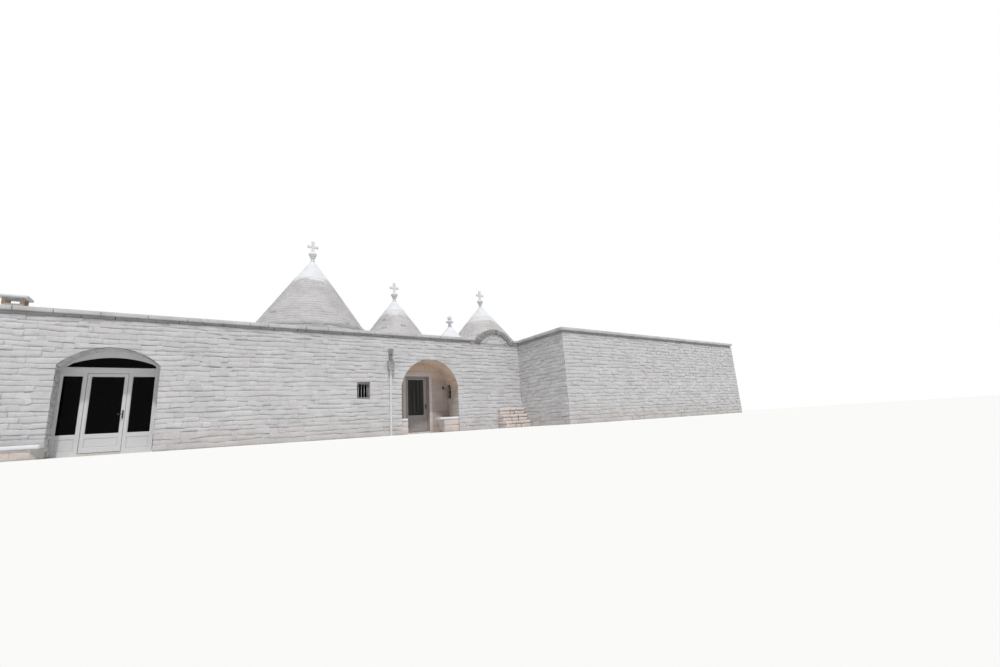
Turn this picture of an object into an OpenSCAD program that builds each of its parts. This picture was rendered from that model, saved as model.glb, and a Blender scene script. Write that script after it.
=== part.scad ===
// Whitewashed trullo house: long coursed stone walls, flat roof, four stone cones,
// an arched porch, a three-part glazed door and a wing that stands forward.
// Millimetres, +Z up. The front faces -Y. The origin is on the ground, under the
// middle of the house. u runs along the front from the left end, v into the house.

/* [Main block] */
// length of the front from the left end to the wing
main_len = 17400; // [16600:50:18400]
// depth of the main block, outside faces
main_dep = 7000; // [6800:50:7600]
// height of the walls up to the underside of the cornice
wall_h = 3600; // [3400:20:3900]
// thickness of the outer walls
wall_t = 900; // [840:10:960]

/* [Wing] */
// length of the wing along the front
wing_len = 12700; // [9000:100:14000]
// how far the wing stands in front of the main wall
wing_out = 3000; // [2400:50:3400]
// depth of the wing, outside faces
wing_dep = 7000; // [6600:50:7400]

/* [Cornice and roof] */
// height of the cornice stones
cornice_h = 200; // [160:10:240]
// thickness of the slabs that stand out; the course under them is flush with the wall
cornice_slab_t = 110; // [90:5:130]
// how far the slabs stand out from the wall
cornice_out = 80; // [60:5:120]
// width of the cornice stone that lies on the wall
cornice_seat = 300; // [240:10:340]
// thickness of the flat roof
roof_t = 180; // [150:10:220]

/* [Arched gable] */
// clear length between the gable and the cornice of the wing
gable_gap = 188; // [60:4:400]
// outer radius of the arched gable
gable_r = 1060; // [960:10:1160]
// height of the centre of the gable arch below the wall top
gable_drop = 400; // [300:10:460]
// depth of the radial stones of the gable arch
gable_ring = 210; // [160:10:260]
// number of radial stones
gable_stones = 21; // [15:2:27]

/* [Glazed door] */
// length of wall between the left end and the glazed door
glazed_wall = 2600; // [2400:10:3200]
// width of the glazed door opening
glazed_w = 2140; // [2060:10:2300]
// height where the flat arch of the opening starts
glazed_spring = 2330; // [2280:10:2400]
// rise of the flat arch
glazed_rise = 500; // [420:10:560]
// how far the door frame stands back from the wall face
glazed_set = 530; // [450:10:600]
// width of the opening leaf in the middle
glazed_leaf_w = 852; // [820:4:900]
// distance of the leaf's middle left of the middle of the opening
glazed_leaf_off = 92; // [60:2:100]
// height of the opening leaf
glazed_leaf_h = 2110; // [2050:10:2180]
// height of the rail between the leaf and the fan light
transom_h = 149; // [140:1:170]

/* [Small window] */
// length of wall between the window and the porch
win_pier = 1150; // [1000:10:1400]
// width of the window opening
win_w = 480; // [420:10:560]
// height of the window opening
win_h = 600; // [520:10:700]
// height of the window opening above the ground
win_sill = 1320; // [1250:10:1400]
// how far the window stands back from the wall face
win_set = 220; // [180:10:300]

/* [Porch] */
// length of wall between the porch and the wing
porch_wall = 3130; // [2900:10:3400]
// radius of the porch arch
porch_r = 1210; // [1140:10:1280]
// height where the porch arch starts
porch_spring = 1610; // [1560:10:1680]
// thickness of the wall behind the porch
porch_back_t = 450; // [400:10:500]
// middle of the porch door, left of the middle of the arch
porch_door_off = 165; // [100:5:200]
// width of the porch door opening
porch_door_w = 1020; // [980:10:1060]
// height of the porch door opening
porch_door_h = 2260; // [2180:10:2300]

/* [Cones] */
// radius of the big cone's drum
big_r = 2270; // [2180:10:2360]
// height of the big cone above the roof
big_rise = 3780; // [3500:10:3950]
// radius of the middle cone's drum
mid_r = 1430; // [1370:10:1490]
// height of the middle cone above the roof
mid_rise = 2650; // [2480:10:2760]
// radius of the small cone's foot
small_r = 970; // [900:10:1020]
// height of the small cone above the roof
small_rise = 1210; // [1120:10:1280]
// radius of the right cone's drum
right_r = 1700; // [1600:10:1780]
// height of the right cone above the roof
right_rise = 2780; // [2640:10:2920]
// height of one stone course on the outside of the cones
course_h = 112; // [90:2:140]
// width of the ledge that each course leaves below the next
course_ledge = 24; // [10:1:32]
// height of one ring of the corbelled vaults inside the cones
ring_h = 170; // [140:5:210]

/* [Hidden] */
house_len = main_len + wing_len;
cx = house_len / 2;
cy = (main_dep - wing_out) / 2;
roof_z = wall_h + roof_t;
cornice_top = wall_h + cornice_h;
bed_top = cornice_top - cornice_slab_t;
wing_u0 = main_len;
wing_u1 = house_len;
wing_v0 = -wing_out;
wing_v1 = wing_dep - wing_out;
floor_t = 60;
play = 9;
eps = 1;
rnd = 96;
fine = 360;

// cones: place of each middle, measured from the wing corner and chained by clear gaps
right_over = 525;
right_v = 3800;
small_gap = 150;
small_v = 2600;
mid_gap = 235;
mid_v = 4000;
big_gap = 252;
big_v = 3300;
right_u = wing_u0 + right_over;
small_u = right_u - along(right_r + small_r + small_gap, right_v - small_v);
mid_u = small_u - along(mid_r + small_r + mid_gap, mid_v - small_v);
big_u = mid_u - along(big_r + mid_r + big_gap, mid_v - big_v);

// how far the main block runs on behind the wing, past the right cone
cone_margin = 175;
main_lap = right_over + right_r + cone_margin + cornice_seat;
main_u1 = main_len + main_lap;

// cones: drum height, ledge on the drum, wall at the foot, cap height, stone above the vault
big_drum_h = 520;
big_ledge = 104;
big_shell = 570;
big_cap_h = 980;
mid_drum_h = 670;
mid_ledge = 36;
mid_shell = 420;
mid_cap_h = 590;
right_drum_h = 670;
right_ledge = 25;
right_shell = 450;
right_cap_h = 680;
small_foot_h = 80;
small_ledge = 20;
small_shell = 340;
small_cap_h = 820;
crown_t = 300;
small_crown_t = 90;
vault_drop = 200;
small_vault_drop = 0;
vault_power = 1.4;

// pinnacles: hollow neck, collar, flattened ball and cross with its arms above or below its middle
point_r = 70;
neck_flare = 26;
neck_h = 150;
collar_r = 118;
collar_t = 52;
rim_round = 24;
ball_r = 162;
ball_h = 218;
ball_round = 80;
cross_h = 550;
cross_w = 430;
cross_t = 84;
cross_bar = 92;
cross_end = 128;
cross_lift = 20;
cross_sink = 50;

// pinnacle of the small cone: neck, wide collar, neck and round head
small_collar_r = 180;
small_collar_t = 80;
small_neck_h = 200;
small_upper_h = 60;
head_r = 98;
head_h = 190;

// openings in the front
glazed_u = glazed_wall + glazed_w / 2;
gz_l = glazed_wall;
gz_r = glazed_wall + glazed_w;
porch_u = main_len - porch_wall - porch_r;
porch_l = porch_u - porch_r;
porch_right = porch_u + porch_r;
win_l = porch_l - win_pier - win_w;
win_r = porch_l - win_pier;
win_top = win_sill + win_h;
gable_u = wing_u0 - cornice_out - gable_gap - gable_half(0);
gable_t = cornice_seat;
gable_joint = 5;

// glazed door: arc of the flat arch, frame, leaf and glass
glazed_arc_r = (pow(glazed_w / 2, 2) + pow(glazed_rise, 2)) / (2 * glazed_rise);
glazed_arc_z = glazed_spring + glazed_rise - glazed_arc_r;
frame_t = 70;
frame_rail = 46;
fan_arc_r = 2156;
fan_top = 2650;
leaf_in = 7;
leaf_t = 56;
leaf_stile = 70;
leaf_lift = 12;
left_post = 56;
right_post = 140;
mid_post = 76;
glass_low = 545;
glass_in = 28;
glass_t = 14;
panel_cut = 12;
panel_foot = 120;
panel_rail = 90;
leaf_z0 = floor_t + leaf_lift;
leaf_l = glazed_u - glazed_leaf_off - glazed_leaf_w / 2;
leaf_r = leaf_l + glazed_leaf_w;
gap_l = leaf_l - play;
gap_r = leaf_r + play;
gap_top = leaf_z0 + glazed_leaf_h + play;
leaf_top = leaf_z0 + glazed_leaf_h;
fan_low = gap_top + transom_h;

// porch door and the wall behind the porch
pd_u = porch_u - porch_door_off;
pd_l = pd_u - porch_door_w / 2;
pd_r = pd_u + porch_door_w / 2;
pd_post = 45;
pd_stile = 110;
pd_top_rail = 50;
pd_set = 150;
pd_v = wall_t + pd_set;
pd_glass_low = 710;
pd_leaf_l = pd_l + pd_post + play;
pd_leaf_r = pd_r - pd_post - play;
pd_leaf_top = porch_door_h - pd_post - play;
back_wall_over = 200;
back_wall_h = porch_spring + porch_r + back_wall_over;
back_wall_end = 420;

// hinges: barrel, pin, running gap, distance of the axis behind the leaf, plates
barrel_r = 9;
pin_r = 5;
pin_gap = 0.08;
hinge_back = 19;
knuckle_h = 45;
knuckle_gap = 0.3;
pin_rise = 47;
plate_t = 5;
plate_w = 40;
hinge_low = 190;
hinge_high = 270;

// lever handles
lock_z = 1060;
lock_w = 34;
lock_h = 220;
lock_t = 8;
lock_edge = 22;
spindle_r = 10;
lever_len = 120;
lever_t = 14;
lever_h = 20;
lever_out = 48;

// window frame
win_frame_t = 60;
win_frame_w = 50;

// niche in the right side of the porch
niche_v = 600;
niche_w = 250;
niche_z = 1350;
niche_h = 550;
niche_d = 220;
niche_top = niche_z + niche_h;
niche_back = porch_right + niche_d;

// bench at the left end, seats in the porch
bench_over = 60;
bench_len = 2410;
bench_dep = 420;
bench_h = 250;
bench_slab_t = 90;
bench_slab_out = 60;
bench_slab_short = 20;
bench_slab_over = 50;
seat_v0 = 60;
seat_v1 = 500;
seat_lip = 40;
seat_slab_t = 90;
left_seat_w = 315;
left_seat_h = 490;
left_seat_in = 120;
left_seat_over = 12;
right_seat_w = 640;
right_seat_h = 480;
right_seat_over = 180;

// steps in the corner of the wing
step_n = 3;
step_w = 1300;
step_run = 200;
step_rise = 272;

// chimney
chim_u = 1390;
chim_v = 1200;
chim_w = 420;
chim_d = 400;
chim_h = 490;
chim_leg = 80;
chim_slot = 160;
chim_over = 80;
chim_slab_t = 70;

// downpipe, hopper and roof outlet
pipe_off = 410;
pipe_u = porch_l - pipe_off;
pipe_r = 40;
pipe_stand = 12;
clip_w = 100;
clip_h = 40;
clip_low = 600;
clip_high = 1800;
hopper_drop = 900;
hopper_w = 230;
hopper_h = 340;
hopper_out = 180;
hopper_neck = 104;
outlet_w = 150;
outlet_d = 130;
outlet_h = 200;
outlet_drop = 450;
hopper_top = wall_h - hopper_drop;
pipe_top = hopper_top - hopper_h;
outlet_top = wall_h - outlet_drop;
outlet_low = outlet_top - outlet_h;

wall_c = [0.88, 0.87, 0.84];
cap_c = [0.95, 0.95, 0.94];
frame_c = [0.92, 0.92, 0.90];
glass_c = [0.10, 0.12, 0.14, 0.6];
floor_c = [0.70, 0.66, 0.60];
metal_c = [0.35, 0.36, 0.37];
tan_c = [0.78, 0.70, 0.60];

// distance along the front between two points that lie dist apart and dv apart in depth
function along(dist, dv) = sqrt(dist * dist - dv * dv);

// half the width of the gable at the height of the wall top, d inside its outer edge
function gable_half(d) = sqrt(pow(gable_r - d, 2) - pow(gable_drop, 2));

// half the width of the porch at height z
function porch_half(z) = z < porch_spring ? porch_r : along(porch_r, z - porch_spring);

// heights of the three hinges of a leaf
function hinge_heights(z0, z1) = [z0 + hinge_low, (z0 + z1) / 2 - knuckle_h, z1 - hinge_high];

// a box given by its two corners in house coordinates
module box(a, b) {
    translate([a[0] - cx, a[1] - cy, a[2]])
    cube([b[0] - a[0], b[1] - a[1], b[2] - a[2]]);
}

// a round bar that runs front to back at u, height z
module bar_v(u, v0, v1, z, r, facets = rnd) {
    translate([u - cx, v0 - cy, z])
    rotate([-90, 0, 0])
    cylinder(h = v1 - v0, r = r, $fn = facets);
}

// an upright round bar
module bar_z(u, v, z0, z1, r) {
    translate([u - cx, v - cy, z0])
    cylinder(h = z1 - z0, r = r, $fn = rnd);
}

// a turned shape: its half outline lies in the positive x half of the plane
module turned(u, v, z) {
    translate([u - cx, v - cy, z])
    rotate_extrude($fn = rnd)
    children();
}

// an outline in the u-z plane, drawn from u and z, carried from v0 to v1
module across(u, v0, v1, z) {
    translate([u - cx, v1 - cy, z])
    rotate([90, 0, 0])
    linear_extrude(height = v1 - v0)
    children();
}

// an outline in the v-z plane, drawn from v and z, carried from u0 to u1
module lengthwise(u0, u1, v, z) {
    translate([u0 - cx, v - cy, z])
    rotate([90, 0, 90])
    linear_extrude(height = u1 - u0)
    children();
}

// the flat arch opening of the glazed door between v0 and v1
module glazed_shape(v0, v1) {
    intersection() {
        box([gz_l, v0, 0], [gz_r, v1, wall_h]);
        union() {
            box([gz_l, v0, 0], [gz_r, v1, glazed_spring]);
            bar_v(glazed_u, v0, v1, glazed_arc_z, glazed_arc_r);
        }
    }
}

// the fan light over the glazed door, between v0 and v1
module fan_light(v0, v1) {
    intersection() {
        box([gz_l + left_post, v0, fan_low], [gz_r - right_post, v1, wall_h]);
        bar_v(glazed_u, v0, v1, glazed_arc_z, glazed_arc_r - frame_rail);
        bar_v(glazed_u, v0, v1, fan_top - fan_arc_r, fan_arc_r);
    }
}

// the hollow of the porch niche, from the face of the reveal into the wall
module niche() {
    box([porch_u + porch_half(niche_top) - eps, niche_v, niche_z],
        [niche_back, niche_v + niche_w, niche_top]);
}

module front_wall_left() color(wall_c)
    box([0, 0, 0], [gz_l, wall_t, wall_h]);

module glazed_door_head() color(wall_c)
    difference() {
        box([gz_l, 0, glazed_spring], [gz_r, wall_t, wall_h]);
        bar_v(glazed_u, -eps, wall_t + eps, glazed_arc_z, glazed_arc_r);
    }

module front_wall_middle() color(wall_c)
    box([gz_r, 0, 0], [win_l, wall_t, wall_h]);

module window_bay_wall() color(wall_c) {
    box([win_l, 0, 0], [win_r, wall_t, win_sill]);
    box([win_l, 0, win_top], [win_r, wall_t, wall_h]);
}

module front_wall_pier() color(wall_c)
    box([win_r, 0, 0], [porch_l, wall_t, wall_h]);

module porch_arch() color(wall_c)
    difference() {
        box([porch_l, 0, porch_spring], [porch_right, wall_t, wall_h]);
        bar_v(porch_u, -eps, wall_t + eps, porch_spring, porch_r);
        niche();
    }

module porch_back_wall() color(tan_c) {
    box([porch_l - back_wall_end, wall_t, 0], [pd_l, wall_t + porch_back_t, back_wall_h]);
    box([pd_r, wall_t, 0], [porch_right + back_wall_end, wall_t + porch_back_t, back_wall_h]);
}

module porch_door_lintel() color(tan_c)
    box([pd_l, wall_t, porch_door_h], [pd_r, wall_t + porch_back_t, back_wall_h]);

// wall from the back of the porch niche to the wing
module front_wall_right() color(wall_c)
    box([niche_back, 0, 0], [wing_u0 + wall_t, wall_t, wall_h]);

// wall under and over the porch niche
module niche_wall() color(wall_c) {
    box([porch_right, 0, 0], [niche_back, wall_t, niche_z]);
    box([porch_right, 0, niche_top], [niche_back, wall_t, wall_h]);
}

// stones on both sides of the porch niche
module niche_sides() color(wall_c) {
    box([porch_right, 0, niche_z], [niche_back, niche_v, niche_top]);
    box([porch_right, niche_v + niche_w, niche_z], [niche_back, wall_t, niche_top]);
}

module end_walls() color(wall_c) {
    box([0, wall_t, 0], [wall_t, main_dep - wall_t, wall_h]);
    box([main_u1 - wall_t, wing_v1, 0], [main_u1, main_dep - wall_t, wall_h]);
}

module back_wall() color(wall_c)
    box([0, main_dep - wall_t, 0], [main_u1, main_dep, wall_h]);

module wing_front_wall() color(wall_c)
    box([wing_u0, wing_v0, 0], [wing_u1, wing_v0 + wall_t, wall_h]);

module wing_side_walls() color(wall_c) {
    box([wing_u0, wing_v0 + wall_t, 0], [wing_u0 + wall_t, 0, wall_h]);
    box([wing_u1 - wall_t, wing_v0 + wall_t, 0], [wing_u1, wing_v1 - wall_t, wall_h]);
}

module wing_back_wall() color(wall_c)
    box([main_u1 - wall_t, wing_v1 - wall_t, 0], [wing_u1, wing_v1, wall_h]);

module main_roof() color(cap_c)
    difference() {
        box([cornice_seat, cornice_seat, wall_h],
            [main_u1 - cornice_seat, main_dep - cornice_seat, roof_z]);
        bar_z(big_u, big_v, wall_h - eps, roof_z + eps, big_r - big_shell);
        bar_z(mid_u, mid_v, wall_h - eps, roof_z + eps, mid_r - mid_shell);
        bar_z(small_u, small_v, wall_h - eps, roof_z + eps, small_r - small_shell);
        bar_z(right_u, right_v, wall_h - eps, roof_z + eps, right_r - right_shell);
    }

module wing_roof() color(cap_c)
    difference() {
        box([wing_u0 + cornice_seat, wing_v0 + cornice_seat, wall_h],
            [wing_u1 - cornice_seat, wing_v1 - cornice_seat, roof_z]);
        box([wing_u0, cornice_seat, wall_h - eps],
            [main_u1 - cornice_seat, wing_v1, roof_z + eps]);
    }

// one course of the roof edge of the main block, past the wall by out, from z0 to z1
module main_edge(out, z0, z1)
    difference() {
        box([-out, -out, z0], [main_u1 + out, main_dep + out, z1]);
        box([cornice_seat, cornice_seat, z0 - eps],
            [main_u1 - cornice_seat, main_dep - cornice_seat, z1 + eps]);
        box([wing_u0 - out, wing_v0, z0 - eps], [wing_u1, wing_v1 + out, z1 + eps]);
        box([gable_u - gable_half(0), -out - eps, z0 - eps],
            [gable_u + gable_half(0), gable_t, z1 + eps]);
    }

// one course of the roof edge of the wing
module wing_edge(out, z0, z1)
    difference() {
        box([wing_u0 - out, wing_v0 - out, z0], [wing_u1 + out, wing_v1 + out, z1]);
        box([wing_u0 + cornice_seat, wing_v0 + cornice_seat, z0 - eps],
            [wing_u1 - cornice_seat, wing_v1 - cornice_seat, z1 + eps]);
        box([wing_u0 - out - eps, cornice_seat, z0 - eps],
            [main_u1 - cornice_seat, wing_v1 + out + eps, z1 + eps]);
    }

module main_cornice() color(cap_c) {
    main_edge(0, wall_h, bed_top);
    main_edge(cornice_out, bed_top, cornice_top);
}

module wing_cornice() color(cap_c) {
    wing_edge(0, wall_h, bed_top);
    wing_edge(cornice_out, bed_top, cornice_top);
}

// a fine round bar about the centre of the gable arch
module gable_bar(v0, v1, r)
    bar_v(gable_u, v0, v1, wall_h - gable_drop, r, fine);

module gable_wall() color(wall_c)
    intersection() {
        gable_bar(0, gable_t, gable_r - gable_ring);
        box([gable_u - gable_r, -eps, wall_h], [gable_u + gable_r, gable_t + eps, wall_h + gable_r]);
    }

// radial stones: the ring above the wall top, parted by narrow joints
module gable_arch() color(cap_c) {
    foot = asin(gable_drop / gable_r);
    turn = (180 - 2 * foot) / gable_stones;
    difference() {
        intersection() {
            gable_bar(-cornice_out, gable_t, gable_r);
            box([gable_u - gable_r, -cornice_out - eps, wall_h],
                [gable_u + gable_r, gable_t + eps, wall_h + gable_r]);
        }
        gable_bar(-cornice_out - eps, gable_t + eps, gable_r - gable_ring);
        for (i = [1 : gable_stones - 1])
            translate([gable_u - cx, -cornice_out - eps - cy, wall_h - gable_drop])
            rotate([0, -(foot + i * turn), 0])
            translate([0, 0, -gable_joint / 2])
            cube([gable_r + gable_ring, gable_t + cornice_out + 2 * eps, gable_joint]);
    }
}

// Stone courses on the outside of a cone, from radius r0 at z0 up to r1 at z1.
// Each course leans with the cone and leaves a narrow ledge below the next.
function courses(r0, z0, r1, z1) =
    let (n = max(1, round((z1 - z0) / course_h)), dr = (r0 - r1) / n, dz = (z1 - z0) / n)
    [for (i = [0 : n - 1], k = [0, 1])
        k == 0 ? [r0 - i * dr, z0 + i * dz] : [r0 - (i + 1) * dr + course_ledge, z0 + (i + 1) * dz]];

// Rings of the corbelled vault, from the crown at z1 down to radius r at z0.
// Each ring is upright and reaches further in than the one below.
function vault_rings(r, z0, z1) =
    let (n = max(2, round((z1 - z0) / ring_h)), dz = (z1 - z0) / n)
    [for (i = [n - 1 : -1 : 0], k = [1, 0])
        [r * (1 - pow(i / n, vault_power)), z0 + (i + k) * dz]];

// A hollow stone cone. From the roof up: the drum with its ledge, the leaning courses up to the
// plaster cap, and inside an upright wall under the corbelled vault.
module cone_shell(u, v, drum_r, drum_h, ledge, rise, cap_h, shell, crown, drop) {
    cone_r = drum_r - ledge;
    slope = (rise - drum_h) / cone_r;
    top_z = rise - cap_h;
    turned(u, v, roof_z)
    polygon(concat(
        [[drum_r - shell, 0], [drum_r, 0], [drum_r, drum_h]],
        courses(cone_r, drum_h, cap_h / slope, top_z),
        [[0, top_z], [0, top_z - crown]],
        vault_rings(drum_r - shell, drum_h - drop, top_z - crown)));
}

module big_cone() color(wall_c)
    cone_shell(big_u, big_v, big_r, big_drum_h, big_ledge, big_rise, big_cap_h, big_shell,
               crown_t, vault_drop);

module middle_cone() color(wall_c)
    cone_shell(mid_u, mid_v, mid_r, mid_drum_h, mid_ledge, mid_rise, mid_cap_h, mid_shell,
               crown_t, vault_drop);

module small_cone() color(wall_c)
    cone_shell(small_u, small_v, small_r, small_foot_h, small_ledge, small_rise, small_cap_h,
               small_shell, small_crown_t, small_vault_drop);

module right_cone() color(wall_c)
    cone_shell(right_u, right_v, right_r, right_drum_h, right_ledge, right_rise, right_cap_h,
               right_shell, crown_t, vault_drop);

// height at which a cone's cap has shrunk to the radius of the pinnacle's neck, to the millimetre
function point_z(drum_r, drum_h, ledge, rise) =
    round(roof_z + rise - point_r * (rise - drum_h) / (drum_r - ledge));

// the smooth plaster cap of one cone
module cap(u, v, drum_r, drum_h, ledge, rise, cap_h) {
    slope = (rise - drum_h) / (drum_r - ledge);
    z0 = roof_z + rise - cap_h;
    translate([u - cx, v - cy, z0])
    cylinder(h = point_z(drum_r, drum_h, ledge, rise) - z0, r1 = cap_h / slope, r2 = point_r, $fn = rnd);
}

module cone_caps() color(cap_c) {
    cap(big_u, big_v, big_r, big_drum_h, big_ledge, big_rise, big_cap_h);
    cap(mid_u, mid_v, mid_r, mid_drum_h, mid_ledge, mid_rise, mid_cap_h);
    cap(small_u, small_v, small_r, small_foot_h, small_ledge, small_rise, small_cap_h);
    cap(right_u, right_v, right_r, right_drum_h, right_ledge, right_rise, right_cap_h);
}

// half outline of a neck with a hollow round side, h high, that starts at height z
module cove(z, h) {
    cove_r = (pow(h / 2, 2) + pow(neck_flare, 2)) / (2 * neck_flare);
    translate([0, z])
    difference() {
        square([point_r + neck_flare, h]);
        translate([point_r + cove_r, h / 2]) circle(r = cove_r, $fn = fine);
    }
}

// half outline of a disc t thick, that starts at height z and has its edges rounded
module disc(z, r, t, edge_r = rim_round) {
    translate([0, z]) square([r - edge_r, t]);
    translate([0, z + edge_r]) square([r, t - 2 * edge_r]);
    for (edge = [edge_r, t - edge_r])
        translate([r - edge_r, z + edge]) circle(r = edge_r, $fn = rnd);
}

// one bar of the cross, wider at both ends
module cross_arm(len)
    polygon([[-cross_end / 2, -len / 2], [cross_end / 2, -len / 2], [cross_bar / 2, 0],
             [cross_end / 2, len / 2], [-cross_end / 2, len / 2], [-cross_bar / 2, 0]]);

// cove neck, collar, flattened ball and stone cross on the point of a cone
module pinnacle(u, v, z) {
    ball_z = neck_h + collar_t;
    cross_z = ball_z + ball_h - cross_sink + cross_h / 2;
    turned(u, v, z) {
        cove(0, neck_h);
        disc(neck_h, collar_r, collar_t);
        disc(ball_z, ball_r, ball_h, ball_round);
    }
    across(u, v - cross_t / 2, v + cross_t / 2, z + cross_z) {
        cross_arm(cross_h);
        translate([0, cross_lift]) rotate(90) cross_arm(cross_w);
    }
}

module cross_pinnacles() color(cap_c) {
    pinnacle(big_u, big_v, point_z(big_r, big_drum_h, big_ledge, big_rise));
    pinnacle(mid_u, mid_v, point_z(mid_r, mid_drum_h, mid_ledge, mid_rise));
    pinnacle(right_u, right_v, point_z(right_r, right_drum_h, right_ledge, right_rise));
}

module small_pinnacle() color(cap_c) {
    collar_z = small_neck_h;
    upper_z = collar_z + small_collar_t;
    turned(small_u, small_v, point_z(small_r, small_foot_h, small_ledge, small_rise)) {
        cove(0, small_neck_h);
        disc(collar_z, small_collar_r, small_collar_t);
        cove(upper_z, small_upper_h);
        disc(upper_z + small_upper_h, head_r, head_h);
    }
}

// a box under a slab; slots cut from side to side leave four short legs at its top
module chimney() color(cap_c) {
    slot_z = roof_z + chim_h - chim_slot;
    top_z = roof_z + chim_h;
    u0 = chim_u - chim_w / 2;
    v0 = chim_v - chim_d / 2;
    difference() {
        box([u0, v0, roof_z], [u0 + chim_w, v0 + chim_d, top_z]);
        box([u0 + chim_leg, v0 - eps, slot_z], [u0 + chim_w - chim_leg, v0 + chim_d + eps, top_z + eps]);
        box([u0 - eps, v0 + chim_leg, slot_z], [u0 + chim_w + eps, v0 + chim_d - chim_leg, top_z + eps]);
    }
    box([u0 - chim_over, v0 - chim_over, top_z],
        [u0 + chim_w + chim_over, v0 + chim_d + chim_over, top_z + chim_slab_t]);
}

// shallow panel cut on both faces of a door part of thickness t whose front is at v
module panel(u0, u1, v, t, z0, z1) {
    box([u0, v - eps, z0], [u1, v + panel_cut, z1]);
    box([u0, v + t - panel_cut, z0], [u1, v + t + eps, z1]);
}

// the two fixed lights beside the leaf, between v0 and v1
module side_lights(v0, v1) {
    glass_top = gap_top - leaf_stile;
    box([gz_l + left_post, v0, glass_low], [gap_l - mid_post, v1, glass_top]);
    box([gap_r + mid_post, v0, glass_low], [gz_r - right_post, v1, glass_top]);
}

module glazed_frame() color(frame_c) {
    v0 = glazed_set - eps;
    v1 = glazed_set + frame_t + eps;
    panel_top = glass_low - panel_rail;
    difference() {
        glazed_shape(glazed_set, glazed_set + frame_t);
        box([gap_l, v0, -eps], [gap_r, v1, gap_top]);
        side_lights(v0, v1);
        panel(gz_l + left_post, gap_l - mid_post, glazed_set, frame_t, panel_foot, panel_top);
        panel(gap_r + mid_post, gz_r - right_post, glazed_set, frame_t, panel_foot, panel_top);
        fan_light(v0, v1);
    }
}

module glazed_panes() color(glass_c) {
    v0 = glazed_set + glass_in;
    side_lights(v0, v0 + glass_t);
    fan_light(v0, v0 + glass_t);
}

// a door leaf with a glazed upper part and a panel below; v is its front face
module leaf(l, r, v, z1, low, stile, rail) {
    difference() {
        box([l, v, leaf_z0], [r, v + leaf_t, z1]);
        box([l + stile, v - eps, low], [r - stile, v + leaf_t + eps, z1 - rail]);
        panel(l + stile, r - stile, v, leaf_t, panel_foot + leaf_z0, low - panel_rail);
    }
}

module glazed_leaf() color(frame_c)
    leaf(leaf_l, leaf_r, glazed_set + leaf_in, leaf_top, glass_low, leaf_stile, leaf_stile);

module glazed_leaf_pane() color(glass_c)
    box([leaf_l + leaf_stile, glazed_set + glass_in, glass_low],
        [leaf_r - leaf_stile, glazed_set + glass_in + glass_t, leaf_top - leaf_stile]);

// fixed half of a hinge: plate on the frame, lower barrel and pin; v is the leaf's back
module hinge_fixed(u, v, z) {
    frame_back = v + frame_t - leaf_in - leaf_t;
    box([u - play - plate_w, frame_back, z], [u - play / 2, frame_back + plate_t, z + knuckle_h]);
    bar_z(u - play / 2, v + hinge_back, z, z + knuckle_h, barrel_r);
    bar_z(u - play / 2, v + hinge_back, z + knuckle_h - eps, z + knuckle_h + pin_rise, pin_r);
}

// moving half of a hinge: plate on the leaf and the upper barrel with its bore
module hinge_moving(u, v, z) {
    z0 = z + knuckle_h + knuckle_gap;
    z1 = z + 2 * knuckle_h;
    difference() {
        union() {
            box([u, v, z0], [u + plate_w, v + plate_t, z1]);
            box([u, v, z0], [u + plate_t, v + hinge_back, z1]);
            bar_z(u - play / 2, v + hinge_back, z0, z1, barrel_r);
        }
        bar_z(u - play / 2, v + hinge_back, z0 - eps, z1 + eps, pin_r + pin_gap);
    }
}

module hinge_pins() color(metal_c) {
    for (z = hinge_heights(leaf_z0, leaf_top)) hinge_fixed(leaf_l, glazed_set + leaf_in + leaf_t, z);
    for (z = hinge_heights(leaf_z0, pd_leaf_top)) hinge_fixed(pd_leaf_l, pd_v + leaf_in + leaf_t, z);
}

// plate, spindle and lever on the front of a leaf whose right edge is at u
module handle(u, v) {
    box([u - lock_edge - lock_w, v + leaf_in - lock_t, lock_z - lock_h / 2],
        [u - lock_edge, v + leaf_in, lock_z + lock_h / 2]);
    bar_v(u - lock_edge - lock_w / 2, v - lever_out - eps, v, lock_z, spindle_r);
    box([u - lock_edge - lock_w / 2 + spindle_r - lever_len, v - lever_out - lever_t, lock_z - lever_h / 2],
        [u - lock_edge - lock_w / 2 + spindle_r, v - lever_out, lock_z + lever_h / 2]);
}

module glazed_door_fittings() color(metal_c) {
    for (z = hinge_heights(leaf_z0, leaf_top)) hinge_moving(leaf_l, glazed_set + leaf_in + leaf_t, z);
    handle(leaf_r, glazed_set);
}

module porch_door_frame() color(frame_c)
    difference() {
        box([pd_l, pd_v, floor_t], [pd_r, pd_v + frame_t, porch_door_h]);
        box([pd_leaf_l - play, pd_v - eps, -eps],
            [pd_leaf_r + play, pd_v + frame_t + eps, pd_leaf_top + play]);
    }

module porch_door_leaf() color(frame_c)
    leaf(pd_leaf_l, pd_leaf_r, pd_v + leaf_in, pd_leaf_top, pd_glass_low, pd_stile, pd_top_rail);

module porch_door_pane() color(glass_c)
    box([pd_leaf_l + pd_stile, pd_v + glass_in, pd_glass_low],
        [pd_leaf_r - pd_stile, pd_v + glass_in + glass_t, pd_leaf_top - pd_top_rail]);

module porch_door_fittings() color(metal_c) {
    for (z = hinge_heights(leaf_z0, pd_leaf_top)) hinge_moving(pd_leaf_l, pd_v + leaf_in + leaf_t, z);
    handle(pd_leaf_r, pd_v);
}

module window_frame() color(frame_c)
    difference() {
        box([win_l, win_set, win_sill], [win_r, win_set + win_frame_t, win_top]);
        box([win_l + win_frame_w, win_set - eps, win_sill + win_frame_w],
            [win_r - win_frame_w, win_set + win_frame_t + eps, win_top - win_frame_w]);
    }

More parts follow.
